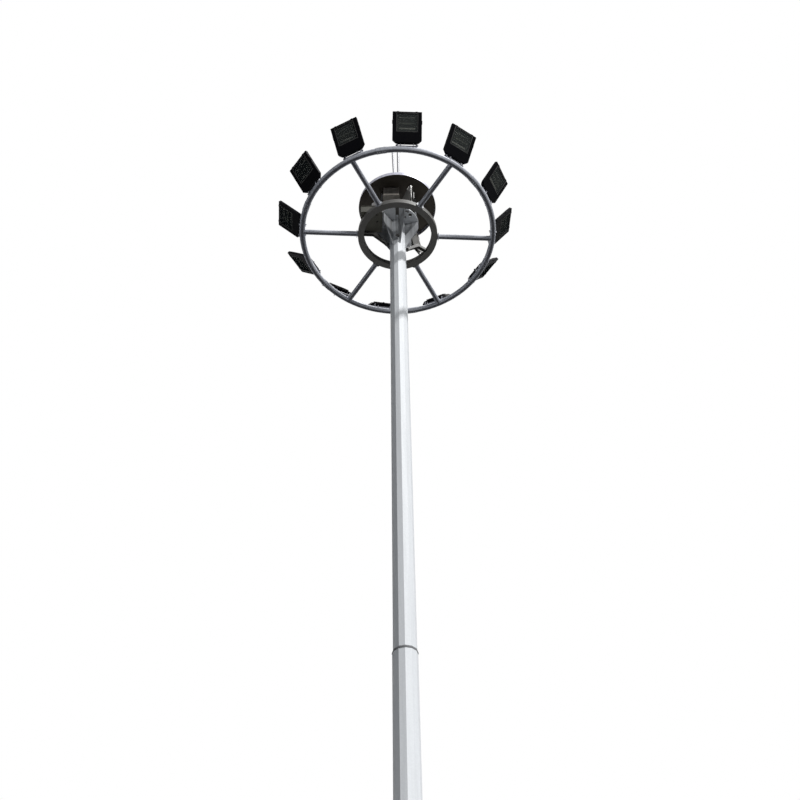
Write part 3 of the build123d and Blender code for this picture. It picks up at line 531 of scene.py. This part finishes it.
        # Near-white strips behind the glass: painted highlight.
        Finish("painted_highlight", (0.86, 0.86, 0.74), (0.74, 0.74, 0.64), rough=0.35, grain=120.0, streak=40.0,
               grime=0.15, bump=0.02, specular=0.0)
        Finish("arc_tube", (0.34, 0.35, 0.28), (0.28, 0.29, 0.23), rough=0.20, grain=120.0, streak=40.0,
               grime=0.1, bump=0.02, specular=0.0)

    def canopy_sheet(self, colors):
        """Pale sheet, with painted shade, darker in patches, on the faces that look down."""
        canopy = Finish("canopy_metal", tuple(colors.canopy), dimmed(colors.canopy, 0.84), metallic=0.20,
                        rough=0.45, grain=40.0, streak=16.0, grime=0.4 * colors.grime)
        # Painted shade on the faces that look down, darker in patches.
        painted_canopy_shade = canopy.mix(canopy.scaled("Patches", 1.0), tuple(colors.under), dimmed(colors.under, 0.45))
        canopy.layer(canopy.by_facing(-0.05, -0.25), painted_canopy_shade)

    def glass(self):
        """Dark, dusty pane that the reflector shows through."""
        glass = Finish("lamp_glass", (0.094, 0.103, 0.101), (0.076, 0.084, 0.082), rough=0.14, grain=60.0,
                       streak=14.0, grime=0.25, dirt=(0.120, 0.120, 0.108), bump=0.0, facets=0.4,
                       specular=0.0)
        glass.shader.inputs["Alpha"].default_value = 0.36
        glass.shader.inputs["IOR"].default_value = 1.45


# --------------------------------------------------------------- mast and head
class TOWER_OT_mast(bpy.types.Operator):
    """Adds the mast's joint seal, dark as painted shade, and its seams, end welds and door fittings"""

    bl_idname = "tower.mast"
    bl_label = "Mast fittings"
    seam_azimuth, seam_thick = 120.0, 0.0035
    # Seam of each section: (radius, height) of its lower and of its upper end.
    seams = (((0.1470, 0.25), (0.1436, 8.355)), ((0.1352, 8.385), (0.1320, 16.15)))
    # Heights of the door's hinges and locks, and how far they stand beside its middle.
    hinges, hinge_aside = (0.76, 1.12), 0.073
    locks, lock_aside = (0.80, 1.08), 0.052
    # Bead of sealant over the lower section's rim: (radius, height above the rim). Its dark grey, down to 24
    # mm below the rim, is also painted shade of the joint's gap.
    rim_bead = [(0.1335, -0.002), (0.1428, -0.002), (0.1428, -0.024), (0.1458, -0.024), (0.1476, -0.018),
                (0.1476, -0.004), (0.1440, 0.006), (0.1335, 0.010)]

    def execute(self, context):
        seal_and_painted_shade = bmesh.new()
        lathe(seal_and_painted_shade, self.rim_bead, Matrix.Translation((0, 0, JOINT_Z)), MAST_SIDES)
        piece("mast_joint_seal_and_painted_shade", seal_and_painted_shade, "sealant_and_painted_shade", "mast")

        welds = bmesh.new()
        for radius, thick, height in ((0.1462, 0.006, 0.033), (0.1312, 0.005, HEAD_Z - 0.004)):
            lathe(welds, bead(radius, thick), Matrix.Translation((0, 0, height)), MAST_SIDES)
        for low, high in self.seams:
            rod(welds, radial(self.seam_azimuth, *low), radial(self.seam_azimuth, *high), self.seam_thick, 8)
        piece("mast_welds", welds, "mast_steel", "mast", 60.0)
        piece("door_fittings", self.door(), ZINC, "mast")
        return {"FINISHED"}

    def door(self):
        """Two hinges on one side of the door and two triangle locks on the other."""
        shape = bmesh.new()
        outward, side = radial(DOOR_AZIMUTH), across(DOOR_AZIMUTH)
        face = outward * DOOR_FACE
        for height in self.hinges:
            centre = face - side * self.hinge_aside + UP * height
            rod(shape, centre - UP * 0.03, centre + UP * 0.03, 0.006, 14)
            leaf = centre + side * 0.018 + outward * 0.001
            block(shape, basis(leaf, side, outward), (0.036, 0.05, 0.004), 0.001)
        for height in self.locks:
            centre = face + side * self.lock_aside + UP * height
            rod(shape, centre, centre + outward * 0.005, 0.014, 24)
            rod(shape, centre + outward * 0.005, centre + outward * 0.009, 0.007, 3)
        return shape


class TOWER_OT_head(bpy.types.Operator):
    """Adds the head's bolts, axle nuts, canopy rim, rod collars and terminal box lid"""

    bl_idname = "tower.head"
    bl_label = "Head fittings"
    foot_bolts_at, foot_bolts_aside = (0.20, 0.31), (0.030, 0.062)
    axle_end = 0.028
    rivets, rivet_rise = 24, 0.050
    # Lightning rod and slim pole: offset along x and radius.
    rods = ((0.032, 0.022), (-0.028, 0.019))
    lid_overlap, lid_thick = 0.008, 0.005
    lid_screws_x, lid_screws_y, lid_glands_x = (-0.125, 0.125), (-0.092, 0.092), (-0.07, 0.0, 0.07)

    def execute(self, context):
        piece("head_bolts", self.bolts(), "arm_zinc", "mast")
        piece("canopy_rim", self.canopy_rim(), "canopy_metal", "mast", 50.0)
        piece("rod_collars", self.collars(), "rod_steel", "mast")
        piece("terminal_box_lid", self.box_lid(), "box_steel", "mast")
        return {"FINISHED"}

    def bolts(self):
        """Bolts of the rope arms' feet under the head plate, and nuts on the sheaves' axles."""
        shape = bmesh.new()
        for azimuth in HOISTS:
            for radius in self.foot_bolts_at:
                for aside in self.foot_bolts_aside:
                    nut(shape, radial(azimuth, radius, HEAD_Z) + across(azimuth) * aside, -UP, 0.012, 0.012)
        for azimuth in HOISTS:
            for radius in SHEAVES_AT:
                axle = radial(azimuth, radius, ROPE_HIGH)
                for aside in (-across(azimuth), across(azimuth)):
                    nut(shape, axle + aside * self.axle_end, aside, 0.016, 0.006)
        return shape

    def canopy_rim(self):
        """Rolled edge, nuts of the posts and rivets round the skirt."""
        shape = bmesh.new()
        lathe(shape, bead(CANOPY_R, 0.007, 8), Matrix.Translation((0, 0, CANOPY_Z + 0.002)), 96)
        for azimuth in CANOPY_POSTS:
            nut(shape, radial(azimuth, POST_AT, CANOPY_Z + 0.150), UP, 0.011)
        for i in range(self.rivets):
            azimuth = 360.0 * (i + 0.5) / self.rivets
            seat = radial(azimuth, CANOPY_R, CANOPY_Z + self.rivet_rise)
            rod(shape, seat - radial(azimuth, 0.002), seat + radial(azimuth, 0.003), 0.007, 10, 0.004)
        return shape

    def collars(self):
        """Welded collars of the two rods, and four nuts of their base."""
        shape = bmesh.new()
        for offset, radius in self.rods:
            wide, narrow = radius + 0.009, radius + 0.003
            lathe(shape, [(radius, 0.0), (wide, 0.0), (wide, 0.016), (narrow, 0.024), (radius, 0.024)],
                  Matrix.Translation((offset, 0, RODS_Z)), 24)
        for azimuth in (45.0, 135.0, 225.0, 315.0):
            nut(shape, radial(azimuth, 0.070, RODS_Z), UP, 0.008)
        return shape

    def box_lid(self):
        """Lid under the terminal box, with its screws and three cable glands."""
        shape = bmesh.new()
        low, high = (Vector(corner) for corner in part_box("head_terminal_box"))
        wide, deep = (high.x - low.x + 2 * self.lid_overlap, high.y - low.y + 2 * self.lid_overlap)
        centre = Vector(((low.x + high.x) / 2, (low.y + high.y) / 2, low.z - 0.002))
        under = centre - UP * self.lid_thick / 2
        block(shape, Matrix.Translation(centre), (wide, deep, self.lid_thick), 0.0015)
        for x in self.lid_screws_x:
            for y in self.lid_screws_y:
                nut(shape, under + Vector((x, y, 0)), -UP, 0.006)
        for x in self.lid_glands_x:
            gland(shape, under + Vector((x, 0, 0)), -UP, 0.016)
        return shape


# ------------------------------------------------------------------ carriage
class TOWER_OT_rings(bpy.types.Operator):
    """Adds the spokes' welds and saddles and the ring splices' bolts"""

    bl_idname = "tower.rings"
    bl_label = "Ring fittings"
    saddle_r, saddle_thick, saddle_bolts_at = 0.066, 0.007, 0.0545
    splice_bolts = (-2.1, -0.8, 0.8, 2.1)

    def execute(self, context):
        welds, saddles = bmesh.new(), bmesh.new()
        for azimuth in SPOKES:
            for radius in (HUB_OUT + 0.003, RING_R - 0.050):
                end = facing(radial(azimuth, radius, RING_Z), radial(azimuth))
                lathe(welds, bead(SPOKE_TUBE + 0.001, 0.005), end, 28)
            self.saddle(saddles, azimuth)
        piece("ring_welds", welds, "ring_steel", "carriage", 60.0)
        piece("spoke_saddles", saddles, ZINC, "carriage")

        bolts = bmesh.new()
        for azimuth in SPOKES:
            for step in self.splice_bolts:
                for way in (-1, 1):
                    seat = radial(azimuth + SPLICE_OFFSET + step, RING_R, RING_Z + way * 0.052)
                    nut(bolts, seat, UP * way, 0.008, 0.005)
        piece("splice_bolts", bolts, ZINC, "carriage")
        return {"FINISHED"}

    def saddle(self, shape, azimuth):
        """Round plate with four bolts, where a spoke meets the inner ring."""
        outward, inner = radial(azimuth), SPOKE_TUBE + 0.0005
        plate = radial(azimuth, HUB_OUT + 0.012, RING_Z)
        lathe(shape, [(inner, 0.0), (self.saddle_r, 0.0), (self.saddle_r, self.saddle_thick),
                      (inner, self.saddle_thick)], facing(plate, outward), 32)
        for turn in (45, 135, 225, 315):
            reach = across(azimuth) * math.cos(math.radians(turn)) + UP * math.sin(math.radians(turn))
            nut(shape, plate + outward * self.saddle_thick + reach * self.saddle_bolts_at, outward, 0.006)


class TOWER_OT_yokes(bpy.types.Operator):
    """Adds each yoke's U bolts, pivot nuts and angle scale plates"""

    bl_idname = "tower.yokes"
    bl_label = "Yoke fittings"
    bolt_thick, bolts_aside = 0.005, 0.105
    leg_tall, leg_nut_at = 0.070, 0.0565

    def execute(self, context):
        for body, pivot, tangent, _ in lamps():
            shape = bmesh.new()
            for way in (-1, 1):
                self.u_bolt(shape, pivot - UP * PIVOT_RISE + tangent * way * self.bolts_aside, tangent)
            for way in (-1, 1):
                self.pivot_nut(shape, pivot + tangent * way * YOKE_EAR, tangent * way, tangent)
            piece(f"{body}_yoke_bolts", shape, "yoke_steel", "carriage")
        return {"FINISHED"}

    def u_bolt(self, shape, centre, tangent):
        """Bolt bent round the ring's tube, with a nut on each leg above the yoke's foot."""
        outward, bend = outwards(tangent), RING_TUBE + 0.0065
        hanging = basis(centre, outward, tangent) @ Matrix.Rotation(math.pi, 4, "Z")
        lathe(shape, bead(bend, self.bolt_thick, 8), hanging, 14, math.pi)
        for way in (-1, 1):
            leg = centre + outward * way * bend
            rod(shape, leg, leg + UP * self.leg_tall, self.bolt_thick, 10)
            nut(shape, leg + UP * self.leg_nut_at, UP, 0.009)

    def pivot_nut(self, shape, ear, axis, tangent):
        """Nut of a tilting pivot, with the angle scale's plate under it."""
        nut(shape, ear, axis, 0.015, 0.008)
        plate = basis(ear + axis * 0.001 - UP * 0.045, outwards(tangent), tangent)
        block(shape, plate, (0.030, 0.018, 0.003), 0.0008)


class TOWER_OT_carriage(bpy.types.Operator):
    """Adds the guide arms' nuts, the junction box's screws, glands and catches and the rope sockets' pins"""

    bl_idname = "tower.carriage"
    bl_label = "Carriage fittings"
    guide_feet_at = (0.43, 0.50)
    lid_thick, screw_inset = 0.008, 0.022
    catch_drop = 0.040

    def execute(self, context):
        piece("guide_nuts", self.guide_nuts(), "hub_steel", "carriage")
        piece("junction_box_fittings", self.box_fittings(), "junction_paint", "carriage")
        piece("socket_pins", self.socket_pins(), ZINC, "carriage")
        return {"FINISHED"}

    def guide_nuts(self):
        """Nuts on the guide rollers' axles and on the guide arms' feet."""
        shape = bmesh.new()
        for azimuth in GUIDES:
            for way in (-1, 1):
                aside = across(azimuth) * way
                nut(shape, radial(azimuth, ROLLER_AT, ROLLER_Z) + aside * 0.028, aside, 0.010)
            for radius in self.guide_feet_at:
                nut(shape, radial(azimuth, radius, RING_Z + 0.030), UP, 0.008)
        return shape

    def box_fittings(self):
        """Screws of the junction box's lid, glands under it where the ring leaves room, and two catches."""
        shape = bmesh.new()
        low, high = (Vector(corner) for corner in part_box("junction_box_lid"))
        for x in (low.x + self.screw_inset, (low.x + high.x) / 2, high.x - self.screw_inset):
            for y in (low.y + self.screw_inset, high.y - self.screw_inset):
                nut(shape, Vector((x, y, BOX_TOP_Z + self.lid_thick)), UP, 0.006)
        low, high = (Vector(corner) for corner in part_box("junction_box"))
        for x in (low.x + 0.10, high.x - 0.08):
            for y in (low.y + 0.07, (low.y + high.y) / 2):
                if math.hypot(x, y) < HUB_IN - 0.04:
                    gland(shape, Vector((x, y, low.z)), -UP, 0.015)
        for y in (low.y + 0.09, high.y - 0.11):
            catch = Matrix.Translation((high.x + 0.004, y, BOX_TOP_Z - self.catch_drop))
            block(shape, catch, (0.008, 0.030, 0.060), 0.002)
        return shape

    def socket_pins(self):
        """Pin with a nut at each end through every rope socket."""
        shape = bmesh.new()
        for azimuth in HOISTS:
            centre = radial(azimuth, ROPE_AT, ROPE_LOW - 0.022)
            aside = across(azimuth)
            rod(shape, centre - aside * 0.026, centre + aside * 0.026, 0.005, 14)
            for way in (-1, 1):
                nut(shape, centre + aside * way * 0.018, aside * way, 0.008)
        return shape


class TOWER_OT_ropes(bpy.types.Operator):
    """Replaces the plain ropes and cable with stranded and ribbed ones"""

    bl_idname = "tower.ropes"
    bl_label = "Ropes and cable"
    strands, strand_r, strand_at, core_r = 6, 0.0016, 0.0033, 0.0018
    turns, steps = 7, 84
    ribs, rib_r, root_r, rib_rise = 34, 0.0110, 0.0106, 0.002

    def execute(self, context):
        ropes = bmesh.new()
        for azimuth in HOISTS:
            self.rope(ropes, radial(azimuth, ROPE_AT, ROPE_LOW), ROPE_HIGH - ROPE_LOW)
        made = piece("hoist_rope_strands", ropes, "wire_rope", None)
        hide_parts("hoist_ropes")
        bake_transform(made)

        cable = bmesh.new()
        turned(cable, self.sheath(CABLE_HIGH - CABLE_LOW),
               Matrix.Translation(radial(CABLE_AZIMUTH, CABLE_AT, CABLE_LOW)))
        made = piece("power_cable_sheath", cable, "cable_rubber", None)
        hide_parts("power_cable")
        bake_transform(made)
        return {"FINISHED"}

    def rope(self, shape, foot, length):
        """Core and six strands that wind round it."""
        rod(shape, foot, foot + UP * length, self.core_r, 8)
        for strand in range(self.strands):
            part = bmesh.new()
            bmesh.ops.create_circle(part, cap_ends=True, segments=8, radius=self.strand_r,
                                    matrix=Matrix.Translation((self.strand_at, 0, 0)))
            bmesh.ops.spin(part, geom=part.faces[:], axis=(0, 0, 1), cent=(0, 0, 0),
                           dvec=(0, 0, length / self.steps), angle=self.turns * math.tau, steps=self.steps)
            bmesh.ops.remove_doubles(part, verts=part.verts[:], dist=1e-7)
            turn = Matrix.Rotation(math.tau * strand / self.strands, 4, "Z")
            absorb(shape, part, Matrix.Translation(foot) @ turn)

    def sheath(self, length):
        """Outline of the cable's ribbed sheath, from its lower to its upper end."""
        outline = [(0.0, 0.0), (self.root_r, 0.0)]
        for i in range(self.ribs):
            low, high = length * i / self.ribs, length * (i + 1) / self.ribs
            outline += [(self.rib_r, low + self.rib_rise), (self.root_r, high)]
        return outline + [(0.0, length)]


# --------------------------------------------------------------- floodlights
class TOWER_OT_floodlights(bpy.types.Operator):
    """Adds each floodlight's reflector, arc tube, pale strips of painted highlight, gasket, fins, screws,
    latches and gland
    """

    bl_idname = "tower.floodlights"
    bl_label = "Floodlight fittings"
    trough_wide, trough_tall, trough_rows = 0.326, 0.316, 12
    trough_z, trough_bow, trough_facet, trough_thick = -0.034, 0.030, 0.006, 0.0015
    # Arc tube and its two ends: from and to along x, and radius.
    tube = ((-0.085, 0.085, 0.014), (-0.125, -0.085, 0.010), (0.085, 0.125, 0.010))
    tube_z = -0.006
    # Strips across the window: rise above its middle, and height.
    strips = ((-0.086, 0.026), (0.112, 0.018))
    strip_wide, strip_z = 0.262, -0.010
    fins, fin_pitch, fin_y, fin_z = 11, 0.030, 0.290, -0.055
    screws_x, screws_y = (-0.20, -0.067, 0.067, 0.20), (0.205, 0.573)
    # Latches at the top and clips at the sides: middle and size.
    latches = (((0.150, 0.580, 0.028), (0.036, 0.008, 0.028)), ((0.238, 0.400, 0.022), (0.008, 0.060, 0.020)))
    gland_at = (0.0, 0.085, -0.044)

    def execute(self, context):
        for body, _, _, panel in lamps():
            piece(f"{body}_reflector", self.reflector(panel), "reflector", body, 20.0)
            piece(f"{body}_arc_tube", self.arc_tube(panel), "arc_tube", body)
            piece(f"{body}_louvres", self.painted_highlight_strips(panel), "painted_highlight", body)
            piece(f"{body}_gasket", self.gasket(panel), "roller_rubber", body)
            piece(f"{body}_casting", self.casting(panel), "lamp_black", body)
        return {"FINISHED"}

    def reflector(self, panel):
        """Bowed trough of pressed sheet, in facets from its lower to its upper edge."""
        shape, part = bmesh.new(), bmesh.new()
        bmesh.ops.create_grid(part, x_segments=1, y_segments=self.trough_rows, size=0.5)
        rows = sorted({round(vert.co.y, 5) for vert in part.verts})
        for vert in part.verts:
            facet = self.trough_facet if rows.index(round(vert.co.y, 5)) % 2 else 0
            depth = self.trough_z + self.trough_bow * (vert.co.y * 2) ** 2 + facet
            vert.co = Vector((vert.co.x * self.trough_wide, vert.co.y * self.trough_tall, depth))
        grown = bmesh.ops.extrude_face_region(part, geom=part.faces[:])
        moved = [item for item in grown["geom"] if isinstance(item, bmesh.types.BMVert)]
        bmesh.ops.translate(part, verts=moved, vec=(0, 0, -self.trough_thick))
        absorb(shape, part, panel @ Matrix.Translation((0, WINDOW_Y, 0)))
        return shape

    def arc_tube(self, panel):
        """Lamp across the middle of the trough."""
        shape = bmesh.new()
        middle = Vector((0, WINDOW_Y, self.tube_z))
        for start, end, radius in self.tube:
            rod(shape, middle + Vector((start, 0, 0)), middle + Vector((end, 0, 0)), radius, 20)
        bmesh.ops.transform(shape, matrix=panel, verts=shape.verts[:])
        return shape

    def painted_highlight_strips(self, panel):
        """Two pale strips across the window, as painted highlight."""
        shape = bmesh.new()
        for rise, tall in self.strips:
            middle = Matrix.Translation((0, WINDOW_Y + rise, self.strip_z))
            block(shape, middle, (self.strip_wide, tall, 0.003), 0.001)
        bmesh.ops.transform(shape, matrix=panel, verts=shape.verts[:])
        return shape

    def gasket(self, panel):
        """Rubber strips round the glass."""
        shape = bmesh.new()
        for way in (-1, 1):
            upright = Matrix.Translation((way * (WINDOW_WIDE / 2 + 0.004), WINDOW_Y, FACE_Z))
            block(shape, panel @ upright, (0.010, WINDOW_TALL + 0.018, 0.004), 0.001)
            level = Matrix.Translation((0, WINDOW_Y + way * (WINDOW_TALL / 2 + 0.004), FACE_Z))
            block(shape, panel @ level, (WINDOW_WIDE - 0.002, 0.010, 0.004), 0.001)
        return shape

    def casting(self, panel):
        """Fins and cable gland on the back, screws on the face, and latches at the top and the sides."""
        shape = bmesh.new()
        for i in range(self.fins):
            fin = Matrix.Translation((self.fin_pitch * (i - self.fins // 2), self.fin_y, self.fin_z))
            block(shape, panel @ fin, (0.004, 0.330, 0.022), 0.001)
        for x in self.screws_x:
            for y in self.screws_y:
                start, end = Vector((x, y, FACE_Z - 0.001)), Vector((x, y, FACE_Z + 0.002))
                rod(shape, panel @ start, panel @ end, 0.006, 12, 0.004)
        for way in (-1, 1):
            for (x, y, z), size in self.latches:
                block(shape, panel @ Matrix.Translation((way * x, y, z)), size, 0.002)
        back = (panel.to_3x3() @ Vector((0, 0, -1))).normalized()
        gland(shape, panel @ Vector(self.gland_at), back, 0.014)
        return shape


# --------------------------------------------------------------------- stage
class TOWER_OT_stage(bpy.types.Operator):
    """Lays the floor and sets the lights, the backdrop and the camera"""

    bl_idname = "tower.stage"
    bl_label = "Stage"
    key_width, fill_width = 2.0, 14.0
    fill_azimuth, fill_elevation = math.radians(300), math.radians(12)
    sky = (0.80, 0.88, 1.0, 1)

    def execute(self, context):
        stage = context.scene.tower_stage
        self.floor(stage.floor_radius)
        self.sun("key_light", stage.sun_azimuth, stage.sun_elevation, stage.sun_strength, self.key_width)
        self.sun("fill_light", self.fill_azimuth, self.fill_elevation, stage.fill_strength, self.fill_width)
        context.scene.world = self.backdrop(stage.ambient)
        context.scene.camera = self.viewer(stage)
        context.scene.view_settings.view_transform = "Standard"
        return {"FINISHED"}

    def floor(self, radius):
        """Pale round floor under the tower."""
        mesh, shape = bpy.data.meshes.new("floor"), bmesh.new()
        bmesh.ops.create_circle(shape, cap_ends=True, segments=96, radius=radius)
        shape.to_mesh(mesh)
        shape.free()
        floor = bpy.data.objects.new("floor", mesh)
        bpy.context.scene.collection.objects.link(floor)
        Finish("floor_pale", (0.78, 0.78, 0.78), (0.75, 0.75, 0.75), rough=0.86, grain=6.0, streak=1.0,
               grime=0.0, bump=0.02)
        mesh.materials.append(Finish.made["floor_pale"])

    def sun(self, name, azimuth, elevation, strength, width):
        """Light from far away: its direction, its strength and its width in the sky in degrees."""
        lamp = bpy.data.lights.new(name, "SUN")
        lamp.energy = strength
        lamp.angle = math.radians(width)
        made = bpy.data.objects.new(name, lamp)
        bpy.context.scene.collection.objects.link(made)
        level = math.cos(elevation)
        towards = Vector((level * math.cos(azimuth), level * math.sin(azimuth), math.sin(elevation)))
        made.rotation_euler = towards.to_track_quat("Z", "Y").to_euler()

    def backdrop(self, ambient):
        """World that is white where it is seen, also in metal and through glass, and lights only softly."""
        world = bpy.data.worlds.new("backdrop")
        world.use_nodes = True
        tree = world.node_tree
        tree.nodes.clear()
        add, link = tree.nodes.new, tree.links.new
        soft = add("ShaderNodeBackground")
        soft.inputs["Color"].default_value = self.sky
        soft.inputs["Strength"].default_value = ambient
        white = add("ShaderNodeBackground")
        white.inputs["Color"].default_value = (1, 1, 1, 1)
        path = add("ShaderNodeLightPath")
        seen = path.outputs["Is Camera Ray"]
        for way in ("Is Glossy Ray", "Is Transmission Ray"):
            either = add("ShaderNodeMath")
            either.operation = "MAXIMUM"
            link(seen, either.inputs[0])
            link(path.outputs[way], either.inputs[1])
            seen = either.outputs[0]
        mix = add("ShaderNodeMixShader")
        link(seen, mix.inputs[0])
        link(soft.outputs[0], mix.inputs[1])
        link(white.outputs[0], mix.inputs[2])
        link(mix.outputs[0], add("ShaderNodeOutputWorld").inputs["Surface"])
        return world

    def viewer(self, stage):
        """Camera at eye height, pitched up and rolled a little."""
        data = bpy.data.cameras.new("viewer")
        data.sensor_width = 36.0
        data.lens = stage.lens
        data.clip_end = 200.0
        camera = bpy.data.objects.new("viewer", data)
        bpy.context.scene.collection.objects.link(camera)
        pitch, roll = stage.camera_pitch, stage.camera_roll
        right = Vector((1, 0, 0))
        up = Vector((0, -math.sin(pitch), math.cos(pitch)))
        ahead = Vector((0, math.cos(pitch), math.sin(pitch)))
        side = math.cos(roll) * right - math.sin(roll) * up
        top = math.sin(roll) * right + math.cos(roll) * up
        turn = Matrix((side, top, -ahead)).transposed().to_4x4()
        camera.matrix_world = Matrix.Translation(stage.camera_place) @ turn
        return camera


class TOWER_PT_panel(bpy.types.Panel):
    """Lists the tower's steps"""

    bl_label = "Floodlight Tower"
    bl_idname = "TOWER_PT_panel"
    bl_space_type = "VIEW_3D"
    bl_region_type = "UI"
    bl_category = "Tower"

    def draw(self, context):
        for step in STEPS:
            self.layout.operator(step.bl_idname)


STEPS = (TOWER_OT_finishes, TOWER_OT_mast, TOWER_OT_head, TOWER_OT_rings, TOWER_OT_yokes,
         TOWER_OT_carriage, TOWER_OT_ropes, TOWER_OT_floodlights, TOWER_OT_stage)
GROUPS = (TowerFinishes, TowerStage)


def register():
    for made in (*GROUPS, *STEPS, TOWER_PT_panel):
        bpy.utils.register_class(made)
    bpy.types.Scene.tower_finishes = bpy.props.PointerProperty(type=TowerFinishes)
    bpy.types.Scene.tower_stage = bpy.props.PointerProperty(type=TowerStage)


def unregister():
    del bpy.types.Scene.tower_stage
    del bpy.types.Scene.tower_finishes
    for made in reversed((*GROUPS, *STEPS, TOWER_PT_panel)):
        bpy.utils.unregister_class(made)


def main():
    register()
    bpy.ops.tower.finishes()
    bpy.ops.tower.mast()
    bpy.ops.tower.head()
    bpy.ops.tower.rings()
    bpy.ops.tower.yokes()
    bpy.ops.tower.carriage()
    bpy.ops.tower.ropes()
    bpy.ops.tower.floodlights()
    bpy.ops.tower.stage()


if __name__ == "__main__":
    main()
